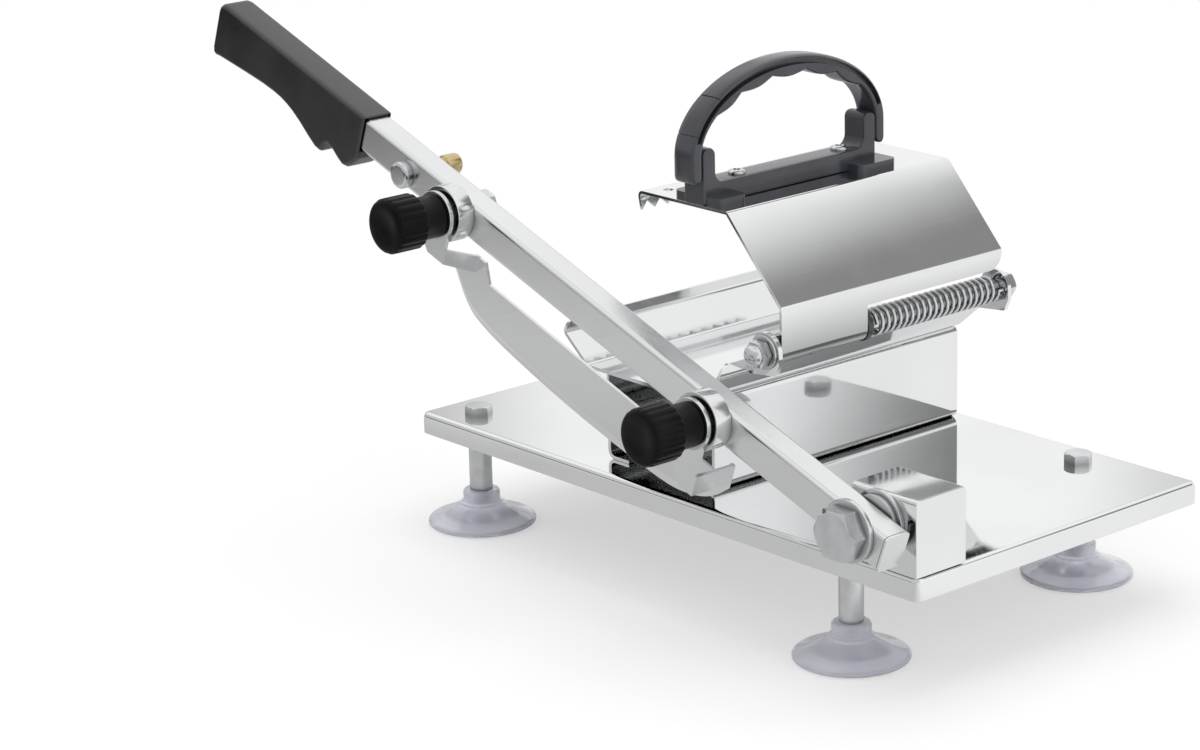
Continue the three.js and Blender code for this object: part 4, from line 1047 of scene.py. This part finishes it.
STUD_RADIUS = 4.0 * MM
STUD_HOLE = 4.3 * MM
STUD_TIP = 0.5 * MM
STUD_NUT = 11.0 * MM
KNOB_RADIUS = 11.7 * MM
KNOB_FACE_EDGE = 2.4 * MM
KNOB_BACK_EDGE = 1.5 * MM
KNOB_DISH_RADIUS = 6.2 * MM
KNOB_DISH_DEPTH = 0.5 * MM
KNOB_NECK_RADIUS = 9.0 * MM
KNOB_NECK_LENGTH = 11.0 * MM
KNOB_FILLET = 0.6 * MM
KNOB_FILLET_START = 0.1 * MM
KNOB_FILLET_END = 0.8 * MM
KNOB_NECK_EDGE = 0.5 * MM
KNOB_BORE_DEPTH = 13.0 * MM
KNOB_FLUTES = 20
KNOB_FLUTE_DEPTH = 0.32 * MM
KNOB_FLUTED_FROM = 11.2 * MM
BRASS_BORE_RADIUS = 3.3 * MM
BRASS_BORE_END = 2.7 * MM
BRASS_WAIST_DEPTH = 0.9 * MM
BRASS_CHAMFER = 1.2 * MM
STOP_SHANK_RADIUS = 3.0 * MM

# Distances from the brass stop's front where its waist starts to fall, is full, starts to rise and ends
BRASS_WAIST = (5.5 * MM, 6.2 * MM, 7.4 * MM, 8.1 * MM)

# Domed edge of the stop bolt's head: distances in from its rim and back from its front
STOP_HEAD_DOME = ((1.6 * MM, 0.0), (0.5 * MM, 0.35 * MM), (0.0, 1.1 * MM))


def fluted(radius, angle):
    """Shallow finger flutes on the widest part of a knob."""
    if radius < KNOB_FLUTED_FROM:
        return radius
    return radius - KNOB_FLUTE_DEPTH * (0.5 + 0.5 * math.cos(KNOB_FLUTES * angle)) ** 2


def add_knob(node):
    """A fluted knob with a dished face, rounded edges, a plain neck and a blind bore."""
    place, _, front, back = level_span(node)
    shoulder = back - KNOB_NECK_LENGTH
    neck = KNOB_NECK_RADIUS
    profile = [(0.0, front + KNOB_DISH_DEPTH), (5.0 * MM, front + 0.9 * KNOB_DISH_DEPTH)]
    profile += [(KNOB_DISH_RADIUS, front), (KNOB_RADIUS - KNOB_FACE_EDGE, front)]
    for angle in quarter(8):
        fall = KNOB_FACE_EDGE * (1 - math.cos(angle))
        profile.append((KNOB_RADIUS - KNOB_FACE_EDGE * (1 - math.sin(angle)), front + fall))
    profile.append((KNOB_RADIUS, (front + shoulder) / 2))
    for angle in quarter(6, first=0):
        shrink = KNOB_BACK_EDGE * (1 - math.cos(angle))
        profile.append((KNOB_RADIUS - shrink, shoulder - KNOB_BACK_EDGE * (1 - math.sin(angle))))
    profile += [(neck + KNOB_FILLET, shoulder + KNOB_FILLET_START), (neck, shoulder + KNOB_FILLET_END)]
    profile += [(neck, back - KNOB_FILLET), (neck - KNOB_NECK_EDGE, back), (STUD_HOLE, back)]
    profile += [(STUD_HOLE, back - KNOB_BORE_DEPTH), (0.0, back - KNOB_BORE_DEPTH)]
    turned(node, profile, place, "knob", made="moulded", sides=200, swell=fluted, sharp_degrees=50)


def add_clamp(side_name):
    """A boss, a threaded stud with its nut, a washer and a knob."""
    boss = f"{side_name}_boss"
    place, radius, front, back = level_span(boss)
    turned(boss, ring_profile(radius, STUD_HOLE, front, back), place, "boss")
    stud = f"{side_name}_stud"
    low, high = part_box(stud)
    rod = [(0.0, low.y), (STUD_RADIUS - STUD_TIP, low.y)]
    rod += threaded(STUD_RADIUS, low.y + STUD_TIP, high.y - STUD_TIP)
    rod += [(STUD_RADIUS - STUD_TIP, high.y), (0.0, high.y)]
    turned(stud, rod, place, "bolt", made="threaded", sides=48)
    nut = f"{side_name}_stud_nut"
    low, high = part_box(nut)
    hex_piece(nut, place, STUD_NUT, low.y, high.y, STUD_HOLE, (False, True), turn=-ARM_SLOPE)
    washer(f"{side_name}_knob_washer", STUD_HOLE)
    add_knob(f"{side_name}_knob")


def add_stop_bolt():
    """A disc head with a softly domed edge on a plain shank."""
    place, radius, front, back = level_span("stop_bolt")
    arm_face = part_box("arm_tube")[0].y
    dome = [(radius - inset, front + fall) for inset, fall in STOP_HEAD_DOME]
    head = [(0.0, front), *dome, (radius, arm_face)]
    shank = [(STOP_SHANK_RADIUS, arm_face), (STOP_SHANK_RADIUS, back), (0.0, back)]
    turned("stop_bolt", soften(head + shank, 0.2 * MM), place, "bolt", sides=64)


def add_brass_stop():
    """A brass peg with a waist and a blind bore, which opens towards the arm."""
    place, radius, front, back = level_span("brass_stop")
    waist = radius - BRASS_WAIST_DEPTH
    bore_end = back - BRASS_BORE_END
    fall, full, rise, end = [front + distance for distance in BRASS_WAIST]
    peg = [(BRASS_BORE_RADIUS, front), (radius, front), (radius, fall)]
    peg += [(waist, full), (waist, rise), (radius, end)]
    peg += [(radius, back - BRASS_CHAMFER), (radius - BRASS_CHAMFER, back), (0.0, back)]
    peg += [(0.0, bore_end), (BRASS_BORE_RADIUS, bore_end), (BRASS_BORE_RADIUS, front)]
    turned("brass_stop", soften(peg, 0.3 * MM), place, "brass", sides=64)


add_clamp("lower")
add_clamp("upper")
add_stop_bolt()
add_brass_stop()


# Floor, world and lamps

FLOOR_SIZE = 6.0
FLOOR_DROP = 0.5 * MM
FLOOR_FADE = (0.28, 0.60)
SHADOW_LIFT = 0.45

# Tones of the floor that metal sees, by the distance to the right of the view's middle: the start and
# end of each change, and the strengths there
FLOOR_TONE_AZIMUTH = math.radians(42.0)
FLOOR_TONES = {
    "far_left": (-1.05, -0.85, 0.30, 1.00),
    "left": (-0.85, -0.40, 0.40, 1.00),
    "near_left": (-0.35, -0.22, 1.20, 1.00),
    "right": (0.05, 0.25, 0.57, 0.95),
}
UNDER_BASE_SHADE = 0.32
UNDER_BASE_BLUR = 25 * MM

# Flags of the studio that metal sees, in degrees: azimuths and elevations where each starts, is full,
# still is full and ends, and its depth
BELOW = (-92.0, -91.0)
STUDIO_STRENGTH = 1.0
STUDIO_FLAGS = {
    "behind": ((43.3, 46.8, 72.0, 80.0), (4.0, 9.0, 36.5, 49.0), 0.72),
    "left": ((139.6, 143.0, 181.0, 182.0), (*BELOW, 22.0, 30.0), 0.42),
    "right": ((110.0, 122.0, 129.0, 131.5), (*BELOW, 22.0, 30.0), 0.25),
    "front": ((-178.0, -150.0, -35.0, 0.0), (*BELOW, 22.0, 55.0), 0.38),
    "overhead": ((-182.0, -181.0, 181.0, 182.0), (58.0, 80.0, 91.0, 92.0), 0.22),
}
AMBIENT_STRENGTH = 0.72
LAMP_AIM = Vector((0.0, 0.0, 90 * MM))


def seen_straight(nodes, path):
    """1 for rays from the camera, also through clear pieces."""
    return nodes.math("MAXIMUM", path.outputs["Is Camera Ray"], path.outputs["Is Transmission Ray"])


def floor_tone(nodes, place):
    """Strength of the floor's light in metal, darker under the base and to the left."""
    along = nodes.add("ShaderNodeVectorMath", operation="DOT_PRODUCT")
    along.inputs[1].default_value = (math.cos(FLOOR_TONE_AZIMUTH), math.sin(FLOOR_TONE_AZIMUTH), 0.0)
    nodes.give(place, along.inputs[0])
    tones = [nodes.range(along.outputs["Value"], *tone) for tone in FLOOR_TONES.values()]
    low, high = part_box("base_plate")
    x, y, _ = nodes.parts(place)
    blur = UNDER_BASE_BLUR
    under = nodes.product(
        nodes.window(x, low.x - blur, low.x + blur, high.x - blur, high.x + blur),
        nodes.window(y, low.y - blur, low.y + blur, high.y - blur, high.y + blur),
    )
    return nodes.product(*tones, nodes.complement(nodes.product(under, UNDER_BASE_SHADE)))


def add_floor():
    """A pale floor that fades to white away from the slicer and keeps its shadow."""
    bm = bmesh.new()
    bmesh.ops.create_grid(bm, x_segments=2, y_segments=2, size=FLOOR_SIZE)
    floor = add_mesh("floor", bm)
    floor.location.z = -FLOOR_DROP
    nodes = new_material("pale_floor")
    pale = nodes.blend(nodes.noise(scale=9.0, detail=3.0), (0.92, 0.92, 0.925), (0.94, 0.94, 0.945))
    nodes.set(Base_Color=pale, Roughness=0.9, Specular_IOR_Level=0.0)
    path = nodes.add("ShaderNodeLightPath")
    place = nodes.place()
    distance = nodes.add("ShaderNodeVectorMath", operation="LENGTH")
    nodes.give(place, distance.inputs[0])
    lift = nodes.math("MAXIMUM", nodes.ease(distance.outputs["Value"], *FLOOR_FADE), SHADOW_LIFT)
    whitened = nodes.mix_shaders(
        nodes.product(seen_straight(nodes, path), lift),
        nodes.shader.outputs[0],
        nodes.white("ShaderNodeEmission"),
    )
    mirrored = nodes.white("ShaderNodeEmission", floor_tone(nodes, place))
    surface = nodes.mix_shaders(path.outputs["Is Glossy Ray"], whitened, mirrored)
    nodes.give(surface, nodes.tree.nodes["Material Output"].inputs["Surface"])
    floor.data.materials.append(nodes.owner)


def add_world():
    """White to the camera; metal sees a white studio with soft darker flags."""
    world = bpy.data.worlds.new("studio")
    bpy.context.scene.world = world
    nodes = Nodes(world)
    nodes.tree.nodes.clear()
    x, y, z = nodes.parts(nodes.add("ShaderNodeTexCoord").outputs["Generated"])
    azimuth = nodes.product(nodes.math("ARCTAN2", y, x), 180 / math.pi)
    elevation = nodes.product(nodes.math("ARCSINE", z), 180 / math.pi)
    light = STUDIO_STRENGTH
    for azimuths, elevations, depth in STUDIO_FLAGS.values():
        flag = nodes.product(nodes.window(azimuth, *azimuths), nodes.window(elevation, *elevations))
        light = nodes.math("SUBTRACT", light, nodes.product(flag, depth))
    path = nodes.add("ShaderNodeLightPath")
    ambient = nodes.white("ShaderNodeBackground", AMBIENT_STRENGTH)
    studio = nodes.white("ShaderNodeBackground", light)
    around_slicer = nodes.mix_shaders(path.outputs["Is Glossy Ray"], ambient, studio)
    plain = nodes.white("ShaderNodeBackground")
    surface = nodes.mix_shaders(seen_straight(nodes, path), around_slicer, plain)
    nodes.give(surface, nodes.add("ShaderNodeOutputWorld").inputs["Surface"])


def add_lamp(name, place, size, watts):
    """A softbox that faces the slicer's middle, unseen by metal."""
    data = bpy.data.lights.new(name, "AREA")
    data.shape = "RECTANGLE"
    data.size, data.size_y = size
    data.energy = watts
    lamp = bpy.data.objects.new(name, data)
    lamp.location = place
    lamp.rotation_euler = (LAMP_AIM - Vector(place)).to_track_quat("-Z", "Y").to_euler()
    lamp.visible_glossy = False
    bpy.context.scene.collection.objects.link(lamp)


add_floor()
add_world()
add_lamp("overhead_softbox", (0.0, 0.1, 1.1), size=(1.1, 1.1), watts=5.5)
add_lamp("left_softbox", (-0.9, -0.8, 0.7), size=(0.8, 0.9), watts=3.0)
add_lamp("right_softbox", (1.1, 0.2, 0.6), size=(0.6, 0.8), watts=2.0)

bpy.context.scene.view_settings.view_transform = "Standard"
